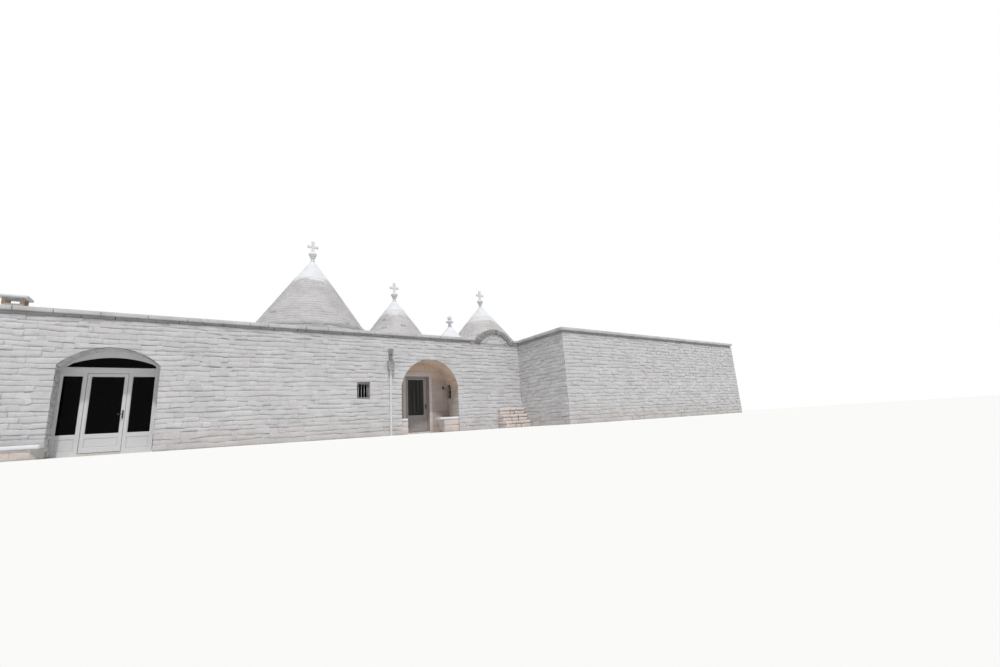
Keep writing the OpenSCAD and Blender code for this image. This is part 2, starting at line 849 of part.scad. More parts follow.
module window_pane() color(glass_c)
    box([win_l + win_frame_w, win_set + glass_in, win_sill + win_frame_w],
        [win_r - win_frame_w, win_set + glass_in + glass_t, win_top - win_frame_w]);

// the bench by the glazed door has a round end; two blocks carry the porch seats
module seat_blocks() color(wall_c) {
    end_u = gz_l + bench_over - bench_dep / 2;
    box([gz_l + bench_over - bench_len, -bench_dep, 0], [end_u, 0, bench_h]);
    bar_z(end_u, -bench_dep / 2, 0, bench_h, bench_dep / 2);
    box([porch_l, seat_v0 + left_seat_in, 0], [porch_l + left_seat_w, seat_v1, left_seat_h]);
    box([porch_right - right_seat_w, seat_v0, 0], [porch_right, seat_v1, right_seat_h]);
}

module seat_slabs() color(cap_c) {
    box([gz_l + bench_over - bench_len - bench_slab_over, -bench_dep - bench_slab_out, bench_h],
        [gz_l + bench_over - bench_slab_short, 0, bench_h + bench_slab_t]);
    box([porch_l, seat_v0 + left_seat_in - seat_lip, left_seat_h],
        [porch_l + left_seat_w + left_seat_over, seat_v1 + seat_lip, left_seat_h + seat_slab_t]);
    box([porch_right - right_seat_w - right_seat_over, seat_v0 - seat_lip, right_seat_h],
        [porch_right, seat_v1 + seat_lip, right_seat_h + seat_slab_t]);
}

// solid steps that climb towards the main wall in the corner of the wing
module corner_steps() color(tan_c)
    for (i = [0 : step_n - 1])
        box([wing_u0 - step_w, -(i + 1) * step_run, 0],
            [wing_u0, -i * step_run, (step_n - i) * step_rise]);

module downpipe() color(frame_c) {
    bar_z(pipe_u, -pipe_r - pipe_stand, 0, pipe_top, pipe_r);
    for (z = [clip_low, clip_high])
        box([pipe_u - clip_w / 2, -pipe_stand - pipe_r / 2, z], [pipe_u + clip_w / 2, 0, z + clip_h]);
}

// a hopper that opens out downwards, the pipe above it and the roof outlet
module rain_hopper() color(metal_c) {
    lengthwise(pipe_u - hopper_w / 2, pipe_u + hopper_w / 2, 0, pipe_top)
    polygon([[0, 0], [-hopper_out, 0], [-hopper_neck, hopper_h], [0, hopper_h]]);
    bar_z(pipe_u, -pipe_r - pipe_stand, hopper_top - eps, outlet_low + eps, pipe_r);
    box([pipe_u - outlet_w / 2, -outlet_d, outlet_low], [pipe_u + outlet_w / 2, 0, outlet_top]);
}

// the built floor, with a sill in both doorways
module floor_slab() color(floor_c)
    difference() {
        union() {
            box([wall_t, wall_t, 0], [main_u1 - wall_t, main_dep - wall_t, floor_t]);
            box([wing_u0 + wall_t, wing_v0 + wall_t, 0], [wing_u1 - wall_t, wing_v1 - wall_t, floor_t]);
            box([gz_l, glazed_set + frame_t, 0], [gz_r, wall_t + eps, floor_t]);
            box([gap_l, glazed_set, 0], [gap_r, wall_t + eps, floor_t]);
        }
        box([porch_l - back_wall_end, wall_t - eps, -eps],
            [pd_l, wall_t + porch_back_t, floor_t + eps]);
        box([pd_r, wall_t - eps, -eps],
            [porch_right + back_wall_end, wall_t + porch_back_t, floor_t + eps]);
    }

front_wall_left();
glazed_door_head();
front_wall_middle();
window_bay_wall();
front_wall_pier();
porch_arch();
porch_back_wall();
porch_door_lintel();
front_wall_right();
niche_wall();
niche_sides();
end_walls();
back_wall();
wing_front_wall();
wing_side_walls();
wing_back_wall();
main_roof();
wing_roof();
main_cornice();
wing_cornice();
gable_wall();
gable_arch();
big_cone();
middle_cone();
small_cone();
right_cone();
cone_caps();
cross_pinnacles();
small_pinnacle();
chimney();
hinge_pins();
glazed_frame();
glazed_panes();
glazed_leaf();
glazed_leaf_pane();
glazed_door_fittings();
porch_door_frame();
porch_door_leaf();
porch_door_pane();
porch_door_fittings();
window_frame();
window_pane();
seat_blocks();
seat_slabs();
corner_steps();
downpipe();
rain_hopper();
floor_slab();
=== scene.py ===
"""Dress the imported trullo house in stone, plaster, paint, metal and glass.

Lengths are metres in the shared frame: +X along the front towards the wing, +Y from the front
into the house, +Z up. House coordinates u, v, z start on the ground at the left end of the front
wall, u along the front and v into the house.
"""

import logging
import math
from dataclasses import dataclass, field, replace
from enum import Enum
from typing import Callable, Iterable, Sequence

import bmesh
import bpy
import numpy as np
from mathutils import Matrix, Vector


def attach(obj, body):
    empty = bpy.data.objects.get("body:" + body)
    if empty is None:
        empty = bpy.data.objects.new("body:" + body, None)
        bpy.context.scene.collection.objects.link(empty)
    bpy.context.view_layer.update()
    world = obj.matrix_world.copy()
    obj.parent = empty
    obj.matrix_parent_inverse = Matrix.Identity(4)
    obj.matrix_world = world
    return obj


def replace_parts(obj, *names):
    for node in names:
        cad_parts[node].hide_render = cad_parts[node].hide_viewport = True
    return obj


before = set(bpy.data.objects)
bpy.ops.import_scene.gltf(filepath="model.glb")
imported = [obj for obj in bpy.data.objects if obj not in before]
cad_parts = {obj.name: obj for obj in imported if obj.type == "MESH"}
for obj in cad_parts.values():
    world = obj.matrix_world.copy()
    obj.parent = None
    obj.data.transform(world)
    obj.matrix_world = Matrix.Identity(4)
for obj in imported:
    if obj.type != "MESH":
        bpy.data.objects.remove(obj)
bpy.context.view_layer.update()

LOG = logging.getLogger("trullo_house")

# Short names of types: numbers in twos and threes, colours, and whether both ends turn a corner
Array = np.ndarray
Pair = tuple[float, float]
Triple = RGB = tuple[float, float, float]
Ends = tuple[bool, bool]
Edge = Callable[[Array], Array]
Socket = bpy.types.NodeSocket
Material = bpy.types.Material

# Origin of the shared frame in house coordinates
SHARED_ORIGIN = np.array([15.05, 2.0, 0.0])
# Underside of the cornice and top of the flat roof
EAVE_Z = 3.6
ROOF_Z = 3.78
# Right end and back of the main block, then the four sides of the wing
MAIN_END = 20.1
MAIN_BACK = 7.0
WING_CORNER = 17.4
WING_END = 30.1
WING_FRONT = -3.0
WING_BACK = 4.0
# Width of the cornice's stones on the wall top
RIM = 0.3
# Radius of a cap's tip, and of the neck on it at its thinnest
NECK_R = 0.07

# Direction along the front, and the axes of upright and level bars
FRONTWISE = (1.0, 0.0, 0.0)
UPRIGHT_AXES = np.array([[0.0, 0.0, 1.0], [1.0, 0.0, 0.0], [0.0, 1.0, 0.0]])
LEVEL_AXES = np.array([[1.0, 0.0, 0.0], [0.0, 0.0, 1.0], [0.0, -1.0, 0.0]])
# Section of the bead round panes and panels: into the opening and in front of its face
BEAD = np.array([[0.0, 0.0], [0.016, 0.0], [0.015, 0.005], [0.011, 0.010], [0.004, 0.012], [0.0, 0.012]])

# Height over the whole house
ABOVE_ALL = 9.0
# Narrowest stone and lowest course that are still laid
LEAST_STONE = 0.02
LEAST_COURSE = 0.05
# Rounded edge of a stone: shares of the bevel from its rim, and the height reached there
EDGE_STEPS = np.array([0.0, 0.34, 1.0])
EDGE_HEIGHTS = np.array([0.0, 0.68, 1.0])
# Share of the height left at an edge that turns round a corner
CORNER_HEIGHT = 0.8
# How far the joints lie behind the face of the wall
JOINT_DEPTH = 0.004
# Tone and height of a lost stone, painted dark as the shade in its hollow
LOST_SHADE_TONE = 9.0
LOST_HEIGHT = 0.004
# Waves of a bed joint: turns per metre in radians, and share
BED_WAVES = ((3.3, 1.0), (8.1, 0.6), (17.0, 0.45))
# Last two outlines of a block: shares of the bevel by which they shrink, and their steps inwards
END_SHRINK = (0.8, 0.22)
END_STEPS = (0.0, 0.3)
# Extra grid rows of a stone beside a curve
CURVE_ROWS = 7
# Tones between which a stone passes from bare to whitewashed
WASH_TONES = (-1.5, -5.0)


def columns(*values: Array | float) -> Array:
    """Put values of fitting shapes side by side along a new last axis."""
    return np.stack(np.broadcast_arrays(*values), axis=-1)


def house(u: Array | float, v: Array | float, z: Array | float) -> Array:
    """Turn places along the front, into the house and above the ground into shared points."""
    return columns(u, v, z).astype(float) - SHARED_ORIGIN


class Ripple:
    """Smooth wandering value: the mean of sine waves of seeded directions, lengths and phases."""

    def __init__(self, seed: int, wavelength: float, waves: int = 9) -> None:
        """Draw the waves.

        Args:
            seed: Seed of the draw.
            wavelength: Middle length of the waves in metres.
            waves: Number of waves.
        """
        rng = np.random.default_rng(seed)
        heading = rng.normal(size=(waves, 3))
        heading /= np.linalg.norm(heading, axis=1, keepdims=True)
        self.wave = heading * 2.0 * math.pi / (wavelength * rng.uniform(0.6, 1.7, (waves, 1)))
        self.phase = rng.uniform(0.0, 2.0 * math.pi, waves)

    def __call__(self, points: Array) -> Array:
        """Return values of about -1 to 1 at points whose last axis is three."""
        return 1.8 * np.sin(points @ self.wave.T + self.phase).mean(axis=-1)


# Meshes


@dataclass
class Skin:
    """Vertices, faces and stone values (tone, tint, seam) that become one mesh."""

    verts: Array
    faces: list[Array]
    stone: Array

    @staticmethod
    def from_grid(points: Array, stone: Array | None = None, around: bool = False) -> "Skin":
        """Make the faces of many grids at once.

        Args:
            points: Array of grids, rows and columns of points, shape (n, rows, columns, 3).
            stone: Values of the same shape, or None for plain zeros.
            around: Whether the last column joins the first.

        Returns:
            The skin, with corner order rows up and columns to the right.
        """
        n, rows, cols, _ = points.shape
        index = np.arange(n * rows * cols).reshape(n, rows, cols)
        right = np.roll(index, -1, axis=2) if around else index[:, :, 1:]
        left = index if around else index[:, :, :-1]
        quads = columns(left[:, :-1], right[:, :-1], right[:, 1:], left[:, 1:])
        values = np.zeros_like(points) if stone is None else np.broadcast_to(stone, points.shape)
        return Skin(points.reshape(-1, 3), [quads.reshape(-1, 4)], values.reshape(-1, 3))

    @staticmethod
    def join(skins: Iterable["Skin"]) -> "Skin":
        """Put several skins into one."""
        skins = list(skins)
        verts = np.concatenate([skin.verts for skin in skins])
        stone = np.concatenate([skin.stone for skin in skins])
        shift = np.cumsum([0] + [len(skin.verts) for skin in skins[:-1]])
        faces = [block + start for skin, start in zip(skins, shift) for block in skin.faces]
        return Skin(verts, faces, stone)

    def piece(self, name: str, finish: "Finish", slot: str, body: str = "house", smooth: bool = True,
              weld: bool = False) -> bpy.types.Object:
        """Turn the skin into an object that rides on a body.

        Args:
            name: Name of the piece.
            finish: Finish of the piece.
            slot: Name of a material slot; not used.
            body: Body that the piece moves with.
            smooth: Whether the faces are shaded as one rounded surface.
            weld: Whether points that coincide are merged and the faces turned outwards.

        Returns:
            The new object, at the origin.
        """
        sizes = np.concatenate([np.full(len(block), block.shape[1]) for block in self.faces])
        loops = np.concatenate([block.ravel() for block in self.faces]).astype(np.int32)
        starts = np.concatenate([[0], np.cumsum(sizes)[:-1]]).astype(np.int32)
        mesh = bpy.data.meshes.new(name)
        mesh.vertices.add(len(self.verts))
        mesh.vertices.foreach_set("co", self.verts.astype(np.float32).ravel())
        mesh.loops.add(len(loops))
        mesh.loops.foreach_set("vertex_index", loops)
        mesh.polygons.add(len(sizes))
        mesh.polygons.foreach_set("loop_start", starts)
        mesh.polygons.foreach_set("use_smooth", np.full(len(sizes), smooth))
        mesh.update(calc_edges=True)
        values = mesh.attributes.new("stone", "FLOAT_VECTOR", "POINT")
        values.data.foreach_set("vector", self.stone.astype(np.float32).ravel())
        if weld:
            welded = bmesh.new()
            welded.from_mesh(mesh)
            bmesh.ops.remove_doubles(welded, verts=welded.verts, dist=1e-5)
            bmesh.ops.recalc_face_normals(welded, faces=welded.faces)
            welded.to_mesh(mesh)
            welded.free()
        mesh.validate()
        mesh.materials.append(finish.material())
        piece = bpy.data.objects.new(name, mesh)
        bpy.context.scene.collection.objects.link(piece)
        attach(piece, body)
        LOG.info("%s: %d faces on %s", name, len(mesh.polygons), body)
        return piece


# Surfaces that carry stones


@dataclass(frozen=True)
class Flat:
    """Plane face: origin plus s along one direction, t along another, h along their cross product."""

    origin: Triple
    along: Triple
    up: Triple = (0.0, 0.0, 1.0)

    def point(self, s: Array, t: Array, h: Array) -> Array:
        """Return the points at lengths s and t on the face and height h over it."""
        along, up = np.array(self.along), np.array(self.up)
        place = np.array(self.origin) - SHARED_ORIGIN
        return place + s[..., None] * along + t[..., None] * up + h[..., None] * np.cross(along, up)


@dataclass(frozen=True)
class Soffit:
    """Underside of an arch: t is the arc length from the right foot, s runs from back to front."""

    centre_u: float
    centre_z: float
    radius: float
    back_v: float
    foot: float = 0.0

    def point(self, s: Array, t: Array, h: Array) -> Array:
        """Return centre plus (radius - h) turned by foot + t / radius, at depth back_v - s."""
        turn = self.foot + t / self.radius
        reach = self.radius - h
        return house(self.centre_u + reach * np.cos(turn), self.back_v - s,
                     self.centre_z + reach * np.sin(turn))


@dataclass(frozen=True)
class Fan:
    """Ring on an upright wall face: s runs outwards from the inner radius, t is an arc length."""

    centre_u: float
    centre_z: float
    radius: float
    foot: float

    def point(self, s: Array, t: Array, h: Array) -> Array:
        """Return centre plus (radius + s) turned by foot + t / radius, moved forwards by h."""
        turn, reach = self.foot + t / self.radius, self.radius + s
        return house(self.centre_u + reach * np.cos(turn), -h, self.centre_z + reach * np.sin(turn))


@dataclass(frozen=True)
class Ledge:
    """One leaning course of a round wall: s runs round it from a start angle, t up its slope."""

    centre_u: float
    centre_v: float
    low: Pair
    high: Pair
    start: float

    @property
    def slant(self) -> float:
        """Length of the slope."""
        return math.hypot(self.high[0] - self.low[0], self.high[1] - self.low[1])

    @property
    def girth(self) -> float:
        """Length round the middle of the course."""
        return math.pi * (self.low[0] + self.high[0])

    def point(self, s: Array, t: Array, h: Array) -> Array:
        """Return the point at angle start + 2 pi s / girth, moved by h along the slope's normal."""
        turn = self.start + 2.0 * math.pi * s / self.girth
        part = t / self.slant
        run, rise = self.high[0] - self.low[0], self.high[1] - self.low[1]
        reach = self.low[0] + run * part + h * rise / self.slant
        z = self.low[1] + rise * part - h * run / self.slant
        return house(self.centre_u + reach * np.cos(turn), self.centre_v + reach * np.sin(turn), z)


def half_chord(t: Array, centre: float, radius: float) -> Array:
    """Return half the width of a circle at height t, or zero above and below it."""
    return np.sqrt(np.maximum(radius ** 2 - (t - centre) ** 2, 0.0))


@dataclass(frozen=True)
class Opening:
    """Gap in a field of stones between two edges that may change with t."""

    left: Edge
    right: Edge
    wrap: bool = True

    @staticmethod
    def block(left: float, right: float, low: float, high: float) -> "Opening":
        """Make an upright rectangular gap, which has no width above and below itself."""
        middle = 0.5 * (left + right)
        return Opening(lambda t: np.where((t > low) & (t < high), left, middle),
                       lambda t: np.where((t > low) & (t < high), right, middle))

    @staticmethod
    def even(middle: float, half: Edge, wrap: bool = True) -> "Opening":
        """Make a gap that reaches equally far to both sides of its middle."""
        return Opening(lambda t: middle - half(t), lambda t: middle + half(t), wrap)

    @staticmethod
    def arch(middle: float, half: float, spring: float, centre: float, radius: float) -> "Opening":
        """Make a gap with upright sides of half a width up to the springing, under an arch."""
        return Opening.even(middle, lambda t: np.where(
            t < spring, half, np.minimum(half_chord(t, centre, radius), half)))

    @staticmethod
    def disc(middle: float, centre: float, radius: float) -> "Opening":
        """Make a round gap that no stone turns into."""
        return Opening.even(middle, lambda t: half_chord(t, centre, radius), wrap=False)


@dataclass(frozen=True)
class Bond:
    """How the stones of a field are cut and laid.

    Attributes:
        length: Mean length of a stone.
        spread: How far upright joints stray, as a share of the length.
        joint: Width of the joints.
        bevel: Width of the rounded edges.
        proud: How far a stone stands out.
        uneven: How far that differs between stones.
        rough: Depth of the lumps.
        lean: How far an upright joint leans.
        wander: How far a bed joint waves.
        wrap: How far a stone reaches round a corner.
        butt: Height left at an upright joint, as a share.
        slip: How far a stone slips as its joint leans.
        filled: How much limewash fills the joints.
        sunk: Share of lost stones, painted dark as shaded hollows.
    """

    length: float = 0.27
    spread: float = 0.8
    joint: float = 0.005
    bevel: float = 0.034
    proud: float = 0.020
    uneven: float = 0.009
    rough: float = 0.005
    lean: float = 0.03
    wander: float = 0.012
    wrap: float = 0.015
    butt: float = 0.82
    slip: float = 0.5
    filled: float = 0.95
    sunk: float = 0.0


def course_levels(keys: Sequence[float], mean: float, seed: int, uneven: float = 0.22) -> Array:
    """Divide a height into courses that pass through the key heights.

    Args:
        keys: Heights where a course must end, from the lowest to the highest.
        mean: Mean course height.
        seed: Seed of the uneven heights.
        uneven: How far course heights differ from the mean, as a share.

    Returns:
        The heights of all the bed joints.
    """
    rng = np.random.default_rng(seed)
    levels = [np.array([keys[0]])]
    for low, high in zip(keys[:-1], keys[1:]):
        share = rng.uniform(1.0 - uneven, 1.0 + uneven, max(1, round((high - low) / mean)))
        levels.append(low + (high - low) * np.cumsum(share) / share.sum())
    return np.concatenate(levels)


def trimmed(levels: Array, low: float, high: float) -> Array:
    """Return the levels between two heights, with the heights themselves as first and last."""
    kept = levels[(levels > low + LEAST_COURSE) & (levels < high - LEAST_COURSE)]
    return np.concatenate([[low], kept, [high]])


@dataclass
class StoneField:
    """Courses of separate rounded stones on one surface, cut round its openings."""

    surface: Flat | Soffit | Fan | Ledge
    span: Pair
    levels: Array
    bond: Bond
    seed: int
    openings: Sequence[Opening] = ()
    wraps: Ends = (False, False)
    curved_from: int = 2
    edges: list[Edge] = field(init=False)
    edge_wraps: list[bool] = field(init=False)

    def __post_init__(self) -> None:
        """List the edges that stones may end on: the two ends, then both sides of each opening."""
        start, stop = self.span
        self.edges = [lambda t: np.full_like(t, start), lambda t: np.full_like(t, stop)]
        self.edge_wraps = list(self.wraps)
        for gap in self.openings:
            self.edges += [gap.left, gap.right]
            self.edge_wraps += [gap.wrap, gap.wrap]

    def _lay(self, rng: np.random.Generator) -> Array:
        """Cut every course into stones.

        Args:
            rng: Source of the random lengths.

        Returns:
            One row per stone: course, left, right, left edge or -1, right edge or -1.
        """
        rows = []
        for course, (low, high) in enumerate(zip(self.levels[:-1], self.levels[1:])):
            probe = low + (high - low) * np.array([0.04, 0.5, 0.96])
            cut = [i for i, gap in enumerate(self.openings)
                   if (gap.right(probe) - gap.left(probe)).max() > LEAST_STONE]
            cut.sort(key=lambda i: float(self.openings[i].left(probe)[1]))
            ends = [0] + [2 + 2 * i + side for i in cut for side in (0, 1)] + [1]
            for a, b in zip(ends[0::2], ends[1::2]):
                start, stop = self.edges[a](probe).max(), self.edges[b](probe).min()
                if stop - start < LEAST_STONE:
                    continue
                n = max(1, round((stop - start) / (self.bond.length * rng.uniform(0.82, 1.2))))
                shift = rng.uniform(-0.5, 0.5, n - 1) * self.bond.spread
                cuts = start + (stop - start) * (np.arange(1, n) + shift) / n
                left, right = np.concatenate([[start], cuts]), np.concatenate([cuts, [stop]])
                left_end, right_end = np.full(n, -1), np.full(n, -1)
                left_end[0], right_end[-1] = a, b
                rows.append(columns(course, left, right, left_end, right_end))
        return np.concatenate(rows)

    def _side(self, base: Array, lean: Array, ends: Array, heights: Array,
              share: Array, inward: float) -> tuple[Array, Array]:
        """Work out one upright side of every stone.

        Args:
            base: Place of the joint, one per stone.
            lean: How far the joint leans, one per stone.
            ends: Edge number, or -1 for a joint.
            heights: Heights of the grid rows, shape (n, rows).
            share: The same rows as shares of the course, shape (n, rows).
            inward: 1 for a left side, -1 for a right side.

        Returns:
            The side at each row, and whether each stone wraps round the corner there.
        """
        place = base[:, None] + lean[:, None] * (share - 0.5) + inward * 0.15 * self.bond.joint
        wraps = np.zeros(len(base), dtype=bool)
        for number, edge in enumerate(self.edges):
            mine = ends == number
            if mine.any():
                wraps[mine] = self.edge_wraps[number]
                gap = -self.bond.wrap if self.edge_wraps[number] else 0.0
                place[mine] = edge(heights[mine]) + inward * gap
        return place, wraps

    def _batch(self, laid: Array, own: Array, phase: Array, extra: int) -> Skin:
        """Build some of the stones, each a grid whose height falls off towards its edges.

        Args:
            laid: Rows of _lay for these stones.
            own: Lean of both joints, height, tone and tint of each stone, shape (n, 5).
            phase: Phases of the waves of the bed joints.
            extra: Number of grid rows between the rounded rims, for sides that follow a curve.

        Returns:
            The skin of these stones.
        """
        bond, n = self.bond, len(laid)
        course = laid[:, 0].astype(int)
        low, high = self.levels[course], self.levels[course + 1]
        deep = np.clip(bond.bevel / (high - low), 0.04, 0.4)[:, None]
        wide = np.clip(bond.bevel / (laid[:, 2] - laid[:, 1]), 0.03, 0.4)[:, None]
        middle = deep + (1.0 - 2.0 * deep) * np.linspace(0.0, 1.0, extra + 2)[1:-1]
        rows = np.concatenate([EDGE_STEPS * deep, middle, 1.0 - EDGE_STEPS[::-1] * deep], axis=1)
        cols = np.concatenate([EDGE_STEPS * wide, 1.0 - EDGE_STEPS[::-1] * wide], axis=1)
        fall = np.concatenate([EDGE_HEIGHTS, EDGE_HEIGHTS[::-1]])
        tall = np.insert(fall, [len(EDGE_HEIGHTS)] * extra, 1.0)
        free = np.ones(len(self.levels))
        free[[0, -1]] = 0.0

        def bed(line: Array, s: Array) -> Array:
            """Return the height of a bed joint, which waves except at the foot and the top."""
            first, second = phase[:, line, None, None]
            wave = sum(share * np.sin(s * pace + start)
                       for (pace, share), start in zip(BED_WAVES, (first, second, first - second)))
            return self.levels[line][:, None, None] + bond.wander * (free[line][:, None, None] * wave)

        loose = np.minimum(free[course] * free[course + 1], 1.0)
        slip = (bond.slip * own[:, 0] * loose)[:, None, None]
        left_heights = right_heights = low[:, None] + (high - low)[:, None] * rows
        for _ in range(2):
            left, wrap_left = self._side(laid[:, 1], own[:, 0], laid[:, 3], left_heights, rows, 1.0)
            right, wrap_right = self._side(laid[:, 2], own[:, 1], laid[:, 4], right_heights, rows, -1.0)
            s = left[:, :, None] + np.maximum(right - left, 0.0)[:, :, None] * cols[:, None, :]
            bottom, top = bed(course, s) + bond.joint / 2.0, bed(course + 1, s) - bond.joint / 2.0
            t = bottom + slip + (top - bottom) * rows[:, :, None]
            left_heights, right_heights = t[:, :, 0], t[:, :, -1]
        across = np.repeat((bond.butt + (1.0 - bond.butt) * fall)[None, :], n, axis=0)
        across[wrap_left, 0] = across[wrap_right, -1] = CORNER_HEIGHT
        full = tall[None, :, None] * across[:, None, :]
        flat = self.surface.point(s, t, np.zeros_like(s))
        lime = bond.filled * np.clip(0.5 + 1.5 * Ripple(self.seed + 3, 0.26)(flat), 0.0, 1.0)
        full = full + (1.0 - full) * lime
        lump = Ripple(self.seed + 1, 0.16)(flat) + 0.6 * Ripple(self.seed + 2, 0.06)(flat)
        proud, tone, tint = own[:, 2:, None, None].transpose(1, 0, 2, 3)
        h = -JOINT_DEPTH + full * (proud + JOINT_DEPTH + bond.rough * lump)
        # A lost stone takes the full seam colour as painted shade in its hollow
        seam = np.where(tone == LOST_SHADE_TONE, 1.0, 1.0 - full)
        return Skin.from_grid(self.surface.point(s, t, h), columns(tone, tint, seam))

    def skin(self) -> Skin:
        """Lay all the stones; those beside a curved edge get more rows so that they follow it.

        Returns:
            The skin of the whole field.
        """
        rng = np.random.default_rng(self.seed)
        bond, laid = self.bond, self._lay(rng)
        n = len(laid)
        joints = np.unique(laid[:, 1])
        lean_of = dict(zip(joints, rng.uniform(-bond.lean, bond.lean, len(joints))))
        own = columns([lean_of[key] for key in laid[:, 1]], [lean_of.get(key, 0.0) for key in laid[:, 2]],
                      bond.proud + rng.uniform(-bond.uneven, bond.uneven, n),
                      rng.normal(0.0, 0.42, n), rng.uniform(0.0, 1.0, n))
        # Lost stones sit low and get the tone that paints them dark as shaded hollows
        lost = rng.uniform(size=n) < bond.sunk
        own[lost, 2:4] = LOST_HEIGHT, LOST_SHADE_TONE
        phase = rng.uniform(0.0, 2.0 * math.pi, (2, len(self.levels)))
        curved = (laid[:, 3:] >= self.curved_from).any(axis=1)
        return Skin.join([self._batch(laid[pick], own[pick], phase, extra)
                          for pick, extra in ((~curved, 0), (curved, CURVE_ROWS)) if pick.any()])


def blocks(centres: Array, halves: Array, bevel: float, seed: int, axes: Array | None = None,
           rough: float = 0.004, stations: int = 6, taper: float = 0.0, wave: float = 0.22) -> Skin:
    """Model closed stones with rounded edges.

    A rounded rectangle of twelve corners is carried along the stone's first axis; it shrinks at
    both ends, where a flat face closes it. Smooth noise moves the points by a few millimetres,
    always inwards.

    Args:
        centres: Middle of each stone in the shared frame, shape (n, 3).
        halves: Half sizes along the three axes, shape (n, 3).
        bevel: Radius of the rounded edges.
        seed: Seed of the noise.
        axes: Directions of the axes, shape (n, 3, 3), or None for the shared frame's own.
        rough: Depth of the noise.
        stations: Number of outlines between the two ends.
        taper: Radius about which the second size grows with the third, or 0 for none.
        wave: Length of the noise waves.

    Returns:
        The skin of all the stones.
    """
    n = len(centres)
    rng = np.random.default_rng(seed)
    reach = halves[:, 0]
    shrink = np.concatenate([END_SHRINK, np.zeros(stations), END_SHRINK[::-1]]) * bevel
    steps = np.array(END_STEPS) * bevel
    x = np.concatenate([steps - reach[:, None], np.linspace(bevel - reach, reach - bevel, stations, axis=1),
                        reach[:, None] - steps[::-1]], axis=1)
    turn = np.radians(np.array([0, 45, 90, 90, 135, 180, 180, 225, 270, 270, 315, 360], dtype=float))
    side = np.array([[1, 1]] * 3 + [[-1, 1]] * 3 + [[-1, -1]] * 3 + [[1, -1]] * 3, dtype=float)
    core = halves[:, None, None, 1:] - bevel - shrink[None, :, None, None]
    ring = side * core + bevel * columns(np.cos(turn), np.sin(turn))
    if taper:
        ring[..., 0] *= (taper + ring[..., 1]) / taper
    local = np.concatenate([np.broadcast_to(x[:, :, None, None], ring.shape[:3] + (1,)), ring], axis=-1)
    frames = np.broadcast_to(np.eye(3), (n, 3, 3)) if axes is None else axes
    points = centres[:, None, None, :] + np.einsum("nsrk,nkj->nsrj", local, frames)
    depth = np.clip(0.5 + 0.5 * Ripple(seed + 5, wave)(points), 0.0, 1.0)
    pull = -local / np.maximum(np.linalg.norm(local, axis=-1, keepdims=True), 1e-6)
    pull = pull * np.abs(local) / halves[:, None, None, :]
    points = points + np.einsum("nsrk,nkj->nsrj", pull, frames) * (rough * depth)[..., None]
    tone, tint = rng.normal(0.0, 0.4, n), rng.uniform(0.0, 1.0, n)
    seam = (shrink / (END_SHRINK[0] * bevel))[None, :, None] * 0.5
    stone = columns(tone[:, None, None], tint[:, None, None], seam)
    skin = Skin.from_grid(points, stone, around=True)
    corners = len(turn)
    start = np.arange(n)[:, None] * corners * len(shrink)
    end = start + corners * (len(shrink) - 1)
    skin.faces += [start + np.arange(corners)[::-1], end + np.arange(corners)]
    return skin


def run_of_blocks(low: Sequence[float], high: Sequence[float], length: float, seed: int, bevel: float,
                  gap: float = 0.006, rough: float = 0.004) -> Skin:
    """Cut a long box into blocks along its longer level side.

    Args:
        low: Lowest corner in house coordinates.
        high: Highest corner in house coordinates.
        length: Mean length of a block.
        seed: Seed of the lengths.
        bevel: Radius of the edges.
        gap: Width of the joint between blocks.
        rough: Depth of the noise.

    Returns:
        The skin of the blocks.
    """
    rng = np.random.default_rng(seed)
    a, b = house(*low), house(*high)
    axis = 0 if b[0] - a[0] >= b[1] - a[1] else 1
    span = b[axis] - a[axis]
    n = max(1, round(span / length))
    cuts = a[axis] + span * (np.arange(1, n) + rng.uniform(-0.3, 0.3, n - 1)) / n
    start = np.concatenate([[a[axis]], cuts + gap / 2.0])
    stop = np.concatenate([cuts - gap / 2.0, [b[axis]]])
    centres = np.repeat(((a + b) / 2.0)[None, :], n, axis=0)
    centres[:, axis] = (start + stop) / 2.0
    halves = np.repeat(((b - a) / 2.0)[None, :], n, axis=0)
    halves[:, axis] = (stop - start) / 2.0
    order = np.array([0, 1, 2] if axis == 0 else [1, 0, 2])
    frames = np.repeat(np.eye(3)[order][None], n, axis=0)
    if axis == 1:
        frames[:, 1] *= -1.0
    return blocks(centres, halves[:, order], bevel, seed, frames, rough)


def revolve(profile: Array, u: float, v: float, segments: int, wobble: float, seed: int,
            lip: float = 0.0) -> Skin:
    """Turn a profile round an upright axis.

    Args:
        profile: Radius and height pairs from the bottom to the top, shape (m, 2).
        u: Axis along the front.
        v: Axis into the house.
        segments: Number of steps round the axis.
        wobble: Depth of the smooth noise, scaled down near the axis.
        seed: Seed of the noise.
        lip: How far the lowest outline waves up and down.

    Returns:
        The skin, whose points on the axis coincide and are welded later.
    """
    turn = np.linspace(0.0, 2.0 * math.pi, segments, endpoint=False)
    radius, z = profile[:, 0][:, None], profile[:, 1][:, None]
    round_points = house(u + radius * np.cos(turn), v + radius * np.sin(turn), z + 0.0 * turn)
    noise = Ripple(seed, 0.34)(round_points) + 0.5 * Ripple(seed + 1, 0.11)(round_points)
    reach = radius + wobble * noise * np.minimum(radius / 0.2, 1.0)
    low = (profile[:, 1] <= profile[:, 1].min() + 0.02)[:, None]
    level = z + lip * low * (Ripple(seed + 2, 0.3)(round_points) + 0.3)
    points = house(u + reach * np.cos(turn), v + reach * np.sin(turn), level)
    return Skin.from_grid(points[None], around=True)


